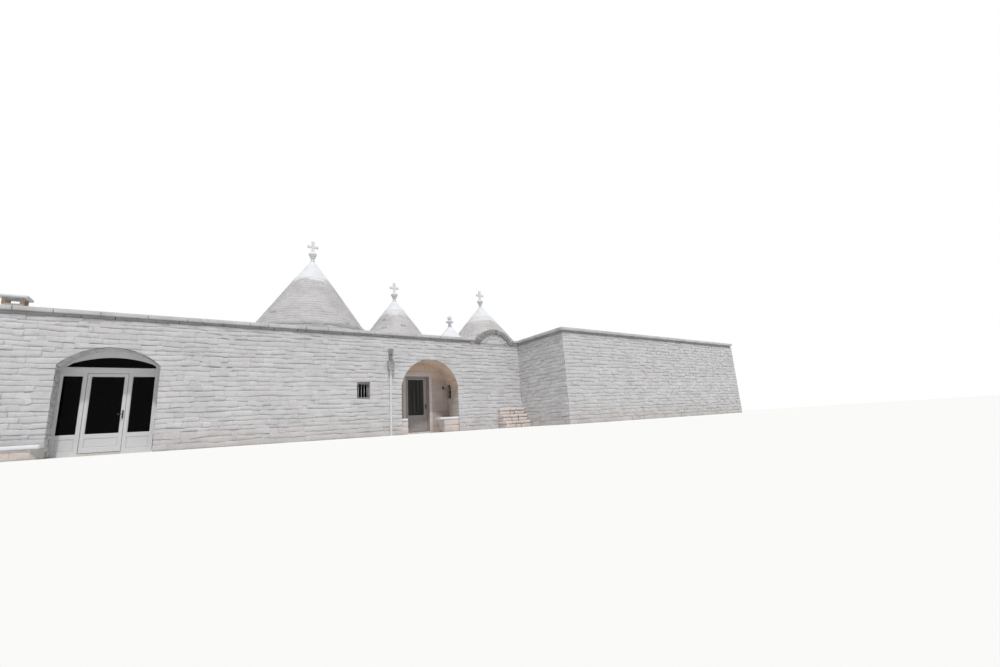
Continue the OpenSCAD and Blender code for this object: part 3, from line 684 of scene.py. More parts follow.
def carry(path: Array, section: Array, v: float) -> Skin:
    """Carry a closed section round a closed path in an upright plane, with mitred corners.

    A section point (a, b) lies a inside the path, measured square to it, and b in front of v.

    Args:
        path: Places along the front and heights, anticlockwise seen from the front, shape (p, 2).
        section: Section points, shape (m, 2).
        v: Depth of the plane.

    Returns:
        The skin of the moulding.
    """
    step = np.roll(path, -1, axis=0) - path
    heading = step / np.linalg.norm(step, axis=1, keepdims=True)
    after = columns(-heading[:, 1], heading[:, 0])
    before = np.roll(after, 1, axis=0)
    mitre = before + after
    mitre /= (mitre * before).sum(axis=1, keepdims=True)
    place = path[:, None, :] + section[None, :, 0:1] * mitre[:, None, :]
    points = house(place[..., 0], v - section[None, :, 1], place[..., 1])
    return Skin.from_grid(np.concatenate([points, points[:1]])[None], around=True)


def rectangle(left: float, right: float, low: float, high: float) -> Array:
    """Return the four corners of an upright rectangle, anticlockwise seen from the front."""
    return np.array([[left, low], [right, low], [right, high], [left, high]])


def tube(path: Array, radius: float, facets: int = 10) -> Skin:
    """Carry a circle along a path of points and close both ends.

    Args:
        path: Points in house coordinates, shape (p, 3).
        radius: Radius of the bar.
        facets: Corners of the circle.

    Returns:
        The skin of the bar.
    """
    heading = np.gradient(path, axis=0)
    heading /= np.linalg.norm(heading, axis=1, keepdims=True)
    helper = np.where(np.abs(heading[:, 2:3]) > 0.9, FRONTWISE, (0.0, 0.0, 1.0))
    side = np.cross(heading, helper)
    side /= np.linalg.norm(side, axis=1, keepdims=True)
    rise = np.cross(heading, side)
    turn = np.linspace(0.0, 2.0 * math.pi, facets, endpoint=False)
    ring = side[:, None] * np.cos(turn)[None, :, None] + rise[:, None] * np.sin(turn)[None, :, None]
    points = path[:, None] + radius * ring - SHARED_ORIGIN
    skin = Skin.from_grid(points[None], around=True)
    end = (len(path) - 1) * facets
    skin.faces += [np.arange(facets)[::-1][None], np.arange(end, end + facets)[None]]
    return skin


# Materials


class Wiring:
    """Adds and links nodes in one node tree."""

    def __init__(self, tree: bpy.types.NodeTree) -> None:
        """Keep the tree."""
        self.tree = tree

    def feed(self, value: object, socket: Socket) -> None:
        """Link an input to a socket, or set it to a value; a colour gets full opacity.

        Args:
            value: Socket, number, vector or RGB colour.
            socket: Input that takes it.
        """
        if isinstance(value, Socket):
            self.tree.links.new(value, socket)
        elif socket.type == "RGBA":
            socket.default_value = (*value, 1.0)
        else:
            socket.default_value = value

    def add(self, kind: str, inputs: dict[str | int, object] | None = None,
            **settings: object) -> bpy.types.Node:
        """Add a node.

        Args:
            kind: Type name of the node.
            inputs: Values or sockets for its inputs, by name or number.
            **settings: Properties of the node.

        Returns:
            The new node.
        """
        node = self.tree.nodes.new(kind)
        for name, value in settings.items():
            setattr(node, name, value)
        for key, value in (inputs or {}).items():
            self.feed(value, node.inputs[key])
        return node

    def math(self, operation: str, *values: object, clamp: bool = False) -> Socket:
        """Add a math node and return its output."""
        node = self.add("ShaderNodeMath", dict(enumerate(values)), operation=operation, use_clamp=clamp)
        return node.outputs[0]

    def times(self, a: object, b: object, clamp: bool = False) -> Socket:
        """Return the product of two values."""
        return self.math("MULTIPLY", a, b, clamp=clamp)

    def plus(self, a: object, b: object, clamp: bool = False) -> Socket:
        """Return the sum of two values."""
        return self.math("ADD", a, b, clamp=clamp)

    def mix(self, factor: object, a: object, b: object) -> Socket:
        """Mix two colours, each a socket or an RGB triple."""
        return self.add("ShaderNodeMix", {0: factor, 6: a, 7: b}, data_type="RGBA").outputs[2]

    def ramp(self, value: object, low: float, high: float, start: float = 0.0, stop: float = 1.0) -> Socket:
        """Map a value from low..high to start..stop with a soft curve."""
        inputs = {"Value": value, "From Min": low, "From Max": high, "To Min": start, "To Max": stop}
        return self.add("ShaderNodeMapRange", inputs, interpolation_type="SMOOTHSTEP").outputs["Result"]

    def noise(self, place: Socket, scale: object, detail: float, rough: float) -> Socket:
        """Add a noise texture and return its value."""
        inputs = {"Vector": place, "Scale": scale, "Detail": detail, "Roughness": rough}
        return self.add("ShaderNodeTexNoise", inputs).outputs["Fac"]

    def strokes(self, place: Socket, pace: Triple, detail: float, rough: float) -> Socket:
        """Return a noise with its own number of waves per metre along each axis."""
        stretched = self.add("ShaderNodeMapping", {"Vector": place, "Scale": pace}).outputs[0]
        return self.noise(stretched, 1.0, detail, rough)

    def parts(self, vector: Socket) -> list[Socket]:
        """Return the three numbers of a vector."""
        return list(self.add("ShaderNodeSeparateXYZ", {0: vector}).outputs)


class Effect:
    """Shader node group that several finishes share; each kind has a method draw for its nodes."""

    title: str
    inputs: tuple[str, ...]
    outputs: tuple[str, ...]

    @classmethod
    def tree(cls) -> bpy.types.NodeTree:
        """Make the group with its named sockets.

        Returns:
            The node tree of the group.
        """
        tree = bpy.data.node_groups.new(cls.title, "ShaderNodeTree")
        tree.interface.new_socket(name="Vector", in_out="INPUT", socket_type="NodeSocketVector")
        for way, names in (("INPUT", cls.inputs), ("OUTPUT", cls.outputs)):
            for name in names:
                tree.interface.new_socket(name=name, in_out=way, socket_type="NodeSocketFloat")
        wiring = Wiring(tree)
        given = wiring.add("NodeGroupInput").outputs
        drawn = cls.draw(wiring, given["Vector"], *(given[name] for name in cls.inputs))
        wiring.add("NodeGroupOutput", dict(zip(cls.outputs, drawn)))
        return tree

    @classmethod
    def lay_on(cls, draft: "Draft", *values: float) -> list[Socket]:
        """Add the group, made on first use, to a material.

        Args:
            draft: Material that takes the effect.
            *values: Numbers for the inputs of the group.

        Returns:
            The outputs of the group.
        """
        tree = bpy.data.node_groups.get(cls.title) or cls.tree()
        inputs = {"Vector": draft.place, **dict(zip(cls.inputs, values))}
        return list(draft.add("ShaderNodeGroup", inputs, node_tree=tree).outputs)


class Mottle(Effect):
    """Cloudy patches and fine speckle, each 0 to 1."""

    title = "limewash_mottle"
    inputs = ("Scale",)
    outputs = ("Patch", "Speck")

    @staticmethod
    def draw(wiring: Wiring, place: Socket, scale: Socket) -> tuple[Socket, ...]:
        """Draw a broad noise and one that is fourteen times finer."""
        cloud = wiring.noise(place, scale, 5.0, 0.62)
        speck = wiring.noise(place, wiring.times(scale, 14.0), 3.0, 0.6)
        return wiring.ramp(cloud, 0.32, 0.7), wiring.ramp(speck, 0.42, 0.72)


class Relief(Effect):
    """Hand-dressed stone: broad dents, grain and small pits as one height."""

    title = "stone_relief"
    inputs = ("Scale", "Pits")
    outputs = ("Height",)

    @staticmethod
    def draw(wiring: Wiring, place: Socket, scale: Socket, pits: Socket) -> tuple[Socket, ...]:
        """Draw two noises and take the pits away from their sum."""
        broad = wiring.noise(place, scale, 5.0, 0.6)
        grain = wiring.noise(place, wiring.times(scale, 7.0), 2.0, 0.5)
        holes = wiring.add("ShaderNodeTexVoronoi", {"Vector": place, "Scale": wiring.times(scale, 3.2)})
        pit = wiring.times(wiring.ramp(holes.outputs["Distance"], 0.28, 0.08), pits)
        return (wiring.math("SUBTRACT", wiring.plus(broad, wiring.times(grain, 0.25)), pit),)


class Weather(Effect):
    """Splash dirt that fades upwards from a low height, and faint streaks that run down."""

    title = "weather_mask"
    inputs = ("Top",)
    outputs = ("Splash", "Streak")

    @staticmethod
    def draw(wiring: Wiring, place: Socket, top: Socket) -> tuple[Socket, ...]:
        """Draw the height with a ragged edge, and a noise drawn out upwards."""
        edge = wiring.math("SUBTRACT", wiring.noise(place, 2.6, 4.0, 0.65), 0.5)
        height = wiring.plus(wiring.parts(place)[2], wiring.times(edge, 0.9))
        share = wiring.math("DIVIDE", height, top)
        run = wiring.strokes(place, (6.0, 6.0, 0.5), 4.0, 0.6)
        return wiring.ramp(share, 1.0, 0.0), wiring.ramp(run, 0.56, 0.78)


class Draft(Wiring):
    """New material with the inputs of its shader and the object coordinates."""

    def __init__(self, name: str) -> None:
        """Make the material."""
        self.material = bpy.data.materials.new(name)
        self.material.use_nodes = True
        super().__init__(self.material.node_tree)
        self.shader = self.tree.nodes["Principled BSDF"].inputs
        self.place = self.add("ShaderNodeTexCoord").outputs["Object"]

    def done(self, colour: Socket, rough: Socket, height: Socket, depth: float,
             strength: float = 1.0) -> Material:
        """Wire the shader.

        Args:
            colour: Base colour.
            rough: Roughness.
            height: Height of the relief, 0 to 1.
            depth: Depth of the relief in metres.
            strength: Strength of the relief.

        Returns:
            The material.
        """
        relief = {"Strength": strength, "Distance": depth, "Height": height}
        self.feed(colour, self.shader["Base Color"])
        self.feed(rough, self.shader["Roughness"])
        self.feed(self.add("ShaderNodeBump", relief).outputs["Normal"], self.shader["Normal"])
        return self.material


@dataclass(frozen=True)
class StoneFinish:
    """Limewashed, plastered or bare stone; colours are linear."""

    name: str
    light: RGB
    dark: RGB
    seam: RGB
    tint: RGB
    splash: RGB = (0.36, 0.31, 0.25)
    splash_top: float = 0.9
    splash_amount: float = 0.0
    streak_amount: float = 0.12
    seam_amount: float = 0.7
    tone: float = 0.22
    tint_amount: float = 0.35
    scale: float = 1.6
    relief_scale: float = 16.0
    relief_depth: float = 0.004
    pits: float = 0.25
    rough: Pair = (0.82, 0.95)
    # Strength of the painted shade in a band just under the eave
    eave: float = 0.0
    wash: RGB | None = None

    def build(self) -> Material:
        """Make the material.

        The colour runs from light to dark with the mottle and each stone's own tone, takes the
        tint on some stones, the seam colour towards the joints, fresh limewash where the tone is
        far below zero, splash dirt near the ground, and painted shade in a band just under the eave.

        Returns:
            The material.
        """
        draft = Draft(self.name)
        stone = draft.add("ShaderNodeAttribute", attribute_name="stone", attribute_type="GEOMETRY")
        tone, tint, seam = draft.parts(stone.outputs["Vector"])
        patch, speck = Mottle.lay_on(draft, self.scale)
        splash, streak = Weather.lay_on(draft, self.splash_top)
        (relief,) = Relief.lay_on(draft, self.relief_scale, self.pits)
        shade = draft.plus(draft.math("MULTIPLY_ADD", patch, 0.62, 0.04), draft.times(tone, self.tone))
        shade = draft.plus(shade, draft.times(speck, 0.3), clamp=True)
        colour = draft.mix(shade, self.light, self.dark)
        warm = draft.times(draft.ramp(tint, 0.45, 1.0), self.tint_amount)
        colour = draft.mix(warm, colour, self.tint)
        joint = draft.ramp(seam, 0.35, 1.0, 0.0, self.seam_amount)
        joint = draft.times(joint, draft.plus(0.55, draft.times(patch, 0.6)), clamp=True)
        colour = draft.mix(joint, colour, self.seam)
        if self.wash:
            colour = draft.mix(draft.ramp(tone, *WASH_TONES), colour, self.wash)
        dirt = draft.plus(draft.times(splash, self.splash_amount), draft.times(streak, self.streak_amount),
                          clamp=True)
        colour = draft.mix(dirt, colour, self.splash)
        # Painted shade: a ragged band just under the eave is darkened towards the seam colour, standing in
        # for the cornice's shadow
        if self.eave:
            height = draft.parts(draft.place)[2]
            ragged = draft.math("MULTIPLY_ADD", patch, 0.05, height)
            under = draft.math("SUBTRACT", draft.ramp(ragged, EAVE_Z - 0.08, EAVE_Z - 0.01),
                               draft.ramp(height, EAVE_Z, EAVE_Z + 0.01), clamp=True)
            colour = draft.mix(draft.times(under, self.eave), colour, self.seam)
        return draft.done(colour, draft.ramp(speck, 0.0, 1.0, *self.rough), relief, self.relief_depth)


@dataclass(frozen=True)
class PaintFinish:
    """Brushed paint on wood or metal, thin and dirty in places."""

    name: str
    paint: RGB
    worn: RGB
    grain: Triple = (40.0, 40.0, 2.5)
    worn_from: float = 0.64
    relief_depth: float = 0.0008
    rough: Pair = (0.38, 0.6)
    metallic: float = 0.0

    def build(self) -> Material:
        """Make the material: stretched noise gives brush marks, a cloudy noise the worn places.

        Returns:
            The material.
        """
        draft = Draft(self.name)
        marks = draft.strokes(draft.place, self.grain, 4.0, 0.6)
        cloud = draft.noise(draft.place, 5.0, 5.0, 0.65)
        wear = draft.plus(draft.times(marks, 0.45), draft.times(cloud, 0.55))
        wear = draft.ramp(wear, self.worn_from, self.worn_from + 0.14, 0.0, 0.75)
        shade = draft.mix(draft.ramp(marks, 0.3, 0.7, 0.0, 0.22), self.paint, self.worn)
        draft.feed(self.metallic, draft.shader["Metallic"])
        rough = draft.ramp(cloud, 0.3, 0.7, *self.rough)
        return draft.done(draft.mix(wear, shade, self.worn), rough, marks, self.relief_depth)


@dataclass(frozen=True)
class GlassFinish:
    """Window glass with faint waves, and the pale folds that show through it."""

    name: str
    colour: RGB
    folds: float
    clear: float
    fold_colour: RGB = (0.2, 0.195, 0.195)
    bending: float = 1.12

    def build(self) -> Material:
        """Make the material: dark glass, paler along upright folds, with a slightly wavy normal.

        Returns:
            The material.
        """
        draft = Draft(self.name)
        dust = draft.noise(draft.place, 3.0, 5.0, 0.7)
        wave = draft.noise(draft.place, 1.7, 1.0, 0.4)
        cloth = draft.strokes(draft.place, (22.0, 22.0, 0.5), 3.0, 0.5)
        draft.feed(self.clear, draft.shader["Transmission Weight"])
        draft.feed(self.bending, draft.shader["IOR"])
        colour = draft.mix(draft.ramp(cloth, 0.38, 0.72, 0.0, self.folds), self.colour, self.fold_colour)
        return draft.done(colour, draft.ramp(dust, 0.3, 0.8, 0.02, 0.16), wave, 0.004, 0.25)


class Finish(Enum):
    """The finishes of the house: light, dark, seam and tint colours, then what differs."""

    WALL = StoneFinish(
        "limewashed_wall_stone", (0.625, 0.622, 0.64), (0.50, 0.495, 0.51), (0.36, 0.355, 0.36),
        (0.61, 0.565, 0.55), tone=0.28, tint_amount=0.3, seam_amount=0.45, splash_amount=0.28,
        relief_depth=0.010, pits=0.08, eave=0.95)
    CORE = StoneFinish(
        "limewash_in_the_joints", (0.55, 0.545, 0.555), (0.44, 0.435, 0.44), (0.36, 0.355, 0.36),
        (0.53, 0.505, 0.49), splash_amount=0.35, relief_scale=12.0, relief_depth=0.008)
    CONE = StoneFinish(
        "weathered_cone_stone", (0.60, 0.592, 0.60), (0.44, 0.432, 0.435), (0.2, 0.19, 0.185),
        (0.57, 0.53, 0.52), wash=(0.74, 0.755, 0.78), tone=0.11, tint_amount=0.3, streak_amount=0.16,
        splash=(0.34, 0.325, 0.31), seam_amount=0.5, relief_scale=15.0, relief_depth=0.007)
    CONE_CORE = StoneFinish(
        "shaded_stone_behind_the_courses", (0.50, 0.492, 0.498), (0.38, 0.372, 0.375), (0.2, 0.19, 0.185),
        (0.48, 0.44, 0.41), scale=2.0)
    PLASTER = StoneFinish(
        "white_lime_plaster", (0.80, 0.82, 0.85), (0.66, 0.68, 0.705), (0.42, 0.415, 0.41),
        (0.68, 0.67, 0.66), tone=0.08, tint_amount=0.12, streak_amount=0.14, splash=(0.40, 0.39, 0.385),
        seam_amount=0.4, relief_scale=7.0, pits=0.08)
    SLAB = StoneFinish(
        "weathered_cornice_slab", (0.60, 0.60, 0.61), (0.43, 0.43, 0.435), (0.3, 0.3, 0.3),
        (0.56, 0.54, 0.53), tone=0.16, tint_amount=0.2, streak_amount=0.25, splash=(0.3, 0.29, 0.285),
        seam_amount=0.4, relief_scale=11.0, relief_depth=0.006)
    # Painted shade: the flush course under the cornice slabs and the gable's impost stones are dark grey to
    # stand in for the slabs' shadow
    SHADOWED_BED = StoneFinish(
        "bed_course_painted_shade", (0.37, 0.365, 0.37), (0.25, 0.245, 0.245), (0.19, 0.185, 0.18),
        (0.35, 0.33, 0.32), tone=0.12, tint_amount=0.2, streak_amount=0.2, splash=(0.2, 0.19, 0.185),
        seam_amount=0.35, relief_scale=12.0, relief_depth=0.005)
    # Painted warm bounce light: the porch sides are limewash tinted warm to stand in for light reflected from
    # the ground
    REVEAL = StoneFinish(
        "reveal_stone_painted_warm_bounce", (0.57, 0.52, 0.49), (0.43, 0.385, 0.36), (0.32, 0.28, 0.25), (0.57, 0.48, 0.41),
        tone=0.16, tint_amount=0.3, seam_amount=0.4, splash_amount=0.2, relief_scale=13.0, relief_depth=0.007)
    # Weathered grey with painted shade: the gable's arch stones are darkened as if standing in shadow
    RING = StoneFinish(
        "weathered_arch_stone_painted_shade", (0.40, 0.39, 0.39), (0.22, 0.215, 0.21), (0.06, 0.056, 0.052),
        (0.48, 0.44, 0.41), tone=0.4, tint_amount=0.3, streak_amount=0.25, splash=(0.16, 0.155, 0.15),
        seam_amount=0.9, scale=2.6, relief_depth=0.007)
    # Painted warm bounce light: the vault's limewash is tinted tan to stand in for light reflected up from
    # the ground
    VAULT = StoneFinish(
        "limewash_vault_painted_warm_bounce", (0.70, 0.555, 0.455), (0.51, 0.40, 0.32), (0.34, 0.265, 0.21),
        (0.66, 0.50, 0.39), tone=0.3, tint_amount=0.5, splash_amount=0.2, splash_top=0.5, seam_amount=0.3,
        relief_scale=12.0, relief_depth=0.008)
    # Painted warm bounce light: the shaded back wall gets a strong warm tint that stands in for reflected
    # light
    BACK = StoneFinish(
        "shaded_back_wall_stone", (0.49, 0.42, 0.39), (0.355, 0.295, 0.27), (0.23, 0.185, 0.165),
        (0.58, 0.455, 0.365), tone=0.2, tint_amount=0.85, splash_amount=0.3, splash_top=0.6, seam_amount=0.55,
        relief_scale=12.0)
    DRESSED = StoneFinish(
        "dressed_door_surround", (0.66, 0.595, 0.57), (0.5, 0.44, 0.415), (0.3, 0.26, 0.24),
        (0.6, 0.52, 0.47), tone=0.15, splash_amount=0.3, splash_top=0.5, seam_amount=0.4, relief_scale=9.0,
        relief_depth=0.003)
    # Painted shade: the niche lining runs from tan at its mouth to near black deep inside
    NICHE_SHADE = StoneFinish(
        "niche_stone_painted_shade", (0.34, 0.28, 0.24), (0.022, 0.018, 0.016), (0.02, 0.018, 0.016),
        (0.34, 0.27, 0.22), tone=1.0, tint_amount=0.1, streak_amount=0.0)
    STEP = StoneFinish(
        "worn_step_stone", (0.70, 0.635, 0.605), (0.52, 0.465, 0.44), (0.36, 0.32, 0.30), (0.70, 0.60, 0.54),
        tone=0.3, splash_amount=0.25, splash_top=0.3, relief_scale=12.0, relief_depth=0.008)
    PAVING = StoneFinish(
        "limewashed_roof_slabs", (0.62, 0.62, 0.61), (0.40, 0.395, 0.385), (0.27, 0.265, 0.26),
        (0.56, 0.53, 0.5), tone=0.3, scale=0.9, relief_scale=9.0)
    FLOOR = StoneFinish(
        "worn_floor_stone", (0.62, 0.585, 0.55), (0.44, 0.405, 0.37), (0.2, 0.18, 0.15), (0.6, 0.53, 0.46))
    # Tan plaster with painted shade: the box and legs are darkened to stand in for the shade under the slab
    CHIMNEY = StoneFinish(
        "tan_chimney_plaster_painted_shade", (0.47, 0.40, 0.335), (0.30, 0.25, 0.205), (0.22, 0.185, 0.155), (0.58, 0.5, 0.42),
        streak_amount=0.3, splash=(0.28, 0.25, 0.22), relief_scale=10.0)
    WHITE_PAINT = PaintFinish("white_door_paint", (0.60, 0.605, 0.615), (0.49, 0.49, 0.49))
    GREY_PAINT = PaintFinish("grey_door_paint", (0.31, 0.29, 0.29), (0.20, 0.185, 0.175))
    DARK_PAINT = PaintFinish("dark_window_paint", (0.10, 0.095, 0.09), (0.16, 0.14, 0.12))
    PIPE = PaintFinish(
        "white_pipe_paint", (0.68, 0.68, 0.70), (0.5, 0.5, 0.5), (8.0, 8.0, 1.5), 0.66, 0.0003, (0.3, 0.5))
    SHEET_METAL = PaintFinish(
        "grey_sheet_metal", (0.20, 0.20, 0.205), (0.40, 0.39, 0.38), (9.0, 9.0, 5.0), 0.47, 0.0005,
        (0.4, 0.65), 0.3)
    IRON = PaintFinish(
        "dark_iron", (0.05, 0.05, 0.052), (0.09, 0.06, 0.04), (30.0, 30.0, 30.0), 0.6, 0.0006, (0.4, 0.65),
        0.8)
    GLASS = GlassFinish("dark_window_glass", (0.010, 0.011, 0.012), 0.04, 0.92)
    CURTAINED = GlassFinish("curtained_door_glass", (0.034, 0.033, 0.034), 0.4, 0.3)

    def material(self) -> Material:
        """Return the finish's material, made on first use."""
        return bpy.data.materials.get(self.value.name) or self.value.build()


def dress(finish: Finish, *nodes: str) -> None:
    """Give CAD nodes a finish by assigning it to their material slots.

    Args:
        finish: The finish.
        *nodes: Names of the nodes.
    """
    for node in nodes:
        piece = bpy.data.objects[node]
        if not piece.material_slots:
            piece.data.materials.append(None)
        for slot in piece.material_slots:
            slot.material = finish.material()


# Parts of the house


@dataclass
class Walls:
    """Stone faces of all the outer walls, with the reveals of their openings."""

    thick: float = 0.9
    glazed_l: float = 2.6
    glazed_r: float = 4.74
    glazed_spring: float = 2.33
    glazed_rise: float = 0.5
    glazed_set: float = 0.53
    window_l: float = 10.22
    window_r: float = 10.7
    window_z0: float = 1.32
    window_z1: float = 1.92
    window_set: float = 0.22
    porch_u: float = 13.06
    porch_r: float = 1.21
    porch_spring: float = 1.61
    course: float = 0.145
    bond: Bond = field(default_factory=Bond)

    def __post_init__(self) -> None:
        """Work out the shared bed joints and the flat arch of the glazed door."""
        self.levels = course_levels([0.0, self.window_z0, self.window_z1, EAVE_Z], self.course, 4)
        self.glazed_half = (self.glazed_r - self.glazed_l) / 2.0
        self.glazed_u = (self.glazed_l + self.glazed_r) / 2.0
        self.glazed_radius = (self.glazed_half ** 2 + self.glazed_rise ** 2) / (2.0 * self.glazed_rise)
        self.glazed_centre = self.glazed_spring + self.glazed_rise - self.glazed_radius

    def front_openings(self) -> list[Opening]:
        """Return the glazed door, the window and the porch as gaps in the main front."""
        return [Opening.arch(self.glazed_u, self.glazed_half, self.glazed_spring, self.glazed_centre,
                             self.glazed_radius),
                Opening.block(self.window_l, self.window_r, self.window_z0, self.window_z1),
                Opening.arch(self.porch_u, self.porch_r, self.porch_spring, self.porch_spring, self.porch_r)]

    def wall(self, start: Pair, stop: Pair, wraps: Ends, seed: int, openings: Sequence[Opening] = (),
             levels: Array | None = None, bond: Bond | None = None) -> Skin:
        """Lay the stones of one straight wall face.

        Args:
            start: Left end seen from outside, along the front and into the house.
            stop: Right end seen from outside.
            wraps: Whether the stones turn round the left and the right corner.
            seed: Seed of the stones.
            openings: Gaps, measured from the left end.
            levels: Bed joints, or None for those of the walls.
            bond: How the stones are laid, or None for that of the walls.

        Returns:
            The skin of the face.
        """
        run = np.array([stop[0] - start[0], stop[1] - start[1], 0.0])
        length = float(np.linalg.norm(run))
        face = Flat((start[0], start[1], 0.0), tuple(run / length))
        return StoneField(face, (0.0, length), self.levels if levels is None else levels, bond or self.bond,
                          seed, openings, wraps).skin()

    def sides(self, left: float, right: float, depth: float, levels: Array, seed: int,
              gaps: Sequence[Opening] = (), bond: Bond | None = None) -> list[Skin]:
        """Lay both upright sides of an opening in the front wall; the gaps are in the right one."""
        return [self.wall((left, 0.0), (left, depth), (True, False), seed, (), levels, bond),
                self.wall((right, depth), (right, 0.0), (False, True), seed + 1, gaps, levels, bond)]

    def reveals(self) -> Skin:
        """Lay the sides and the underside of the glazed door, and the sides of the window.

        Returns:
            The skin of all the reveals.
        """
        low = trimmed(self.levels, 0.0, self.glazed_spring)
        foot = math.asin((self.glazed_spring - self.glazed_centre) / self.glazed_radius)
        arc = (math.pi - 2.0 * foot) * self.glazed_radius
        soffit = Soffit(self.glazed_u, self.glazed_centre, self.glazed_radius, self.glazed_set, foot)
        under = StoneField(soffit, (0.0, self.glazed_set), course_levels([0.0, arc], 0.17, 23), self.bond, 23,
                           wraps=(False, True)).skin()
        high = trimmed(self.levels, self.window_z0, self.window_z1)
        return Skin.join([*self.sides(self.glazed_l, self.glazed_r, self.glazed_set, low, 21), under,
                          *self.sides(self.window_l, self.window_r, self.window_set, high, 24)])

    def build(self) -> None:
        """Make the stone skins of every outer wall, anticlockwise from the main front.

        A corner is a place and whether it is convex, so that stones turn round it.
        """
        front = self.wall((0.0, 0.0), (WING_CORNER, 0.0), (True, False), 11, self.front_openings())
        front.piece("main_front_stones", Finish.WALL, "limewashed_stone")
        corners = ((WING_CORNER, 0.0, False), (WING_CORNER, WING_FRONT, True), (WING_END, WING_FRONT, True),
                   (WING_END, WING_BACK, True), (MAIN_END, WING_BACK, False), (MAIN_END, MAIN_BACK, True),
                   (0.0, MAIN_BACK, True), (0.0, 0.0, True))
        faces = [self.wall(start[:2], stop[:2], (start[2], stop[2]), seed)
                 for seed, (start, stop) in enumerate(zip(corners, corners[1:]), 12)]
        for name, skins in (("wing_front_stones", faces[:2]), ("wing_back_stones", faces[2:4]),
                            ("main_back_stones", faces[4:])):
            Skin.join(skins).piece(name, Finish.WALL, "limewashed_stone")
        self.reveals().piece("door_and_window_reveals", Finish.WALL, "limewashed_stone")
        dress(Finish.CORE, "front_wall_left", "glazed_door_head", "front_wall_middle", "window_bay_wall",
              "front_wall_pier", "porch_arch", "front_wall_right", "niche_wall", "niche_sides", "end_walls",
              "back_wall", "wing_front_wall", "wing_side_walls", "wing_back_wall")
        dress(Finish.FLOOR, "floor_slab")


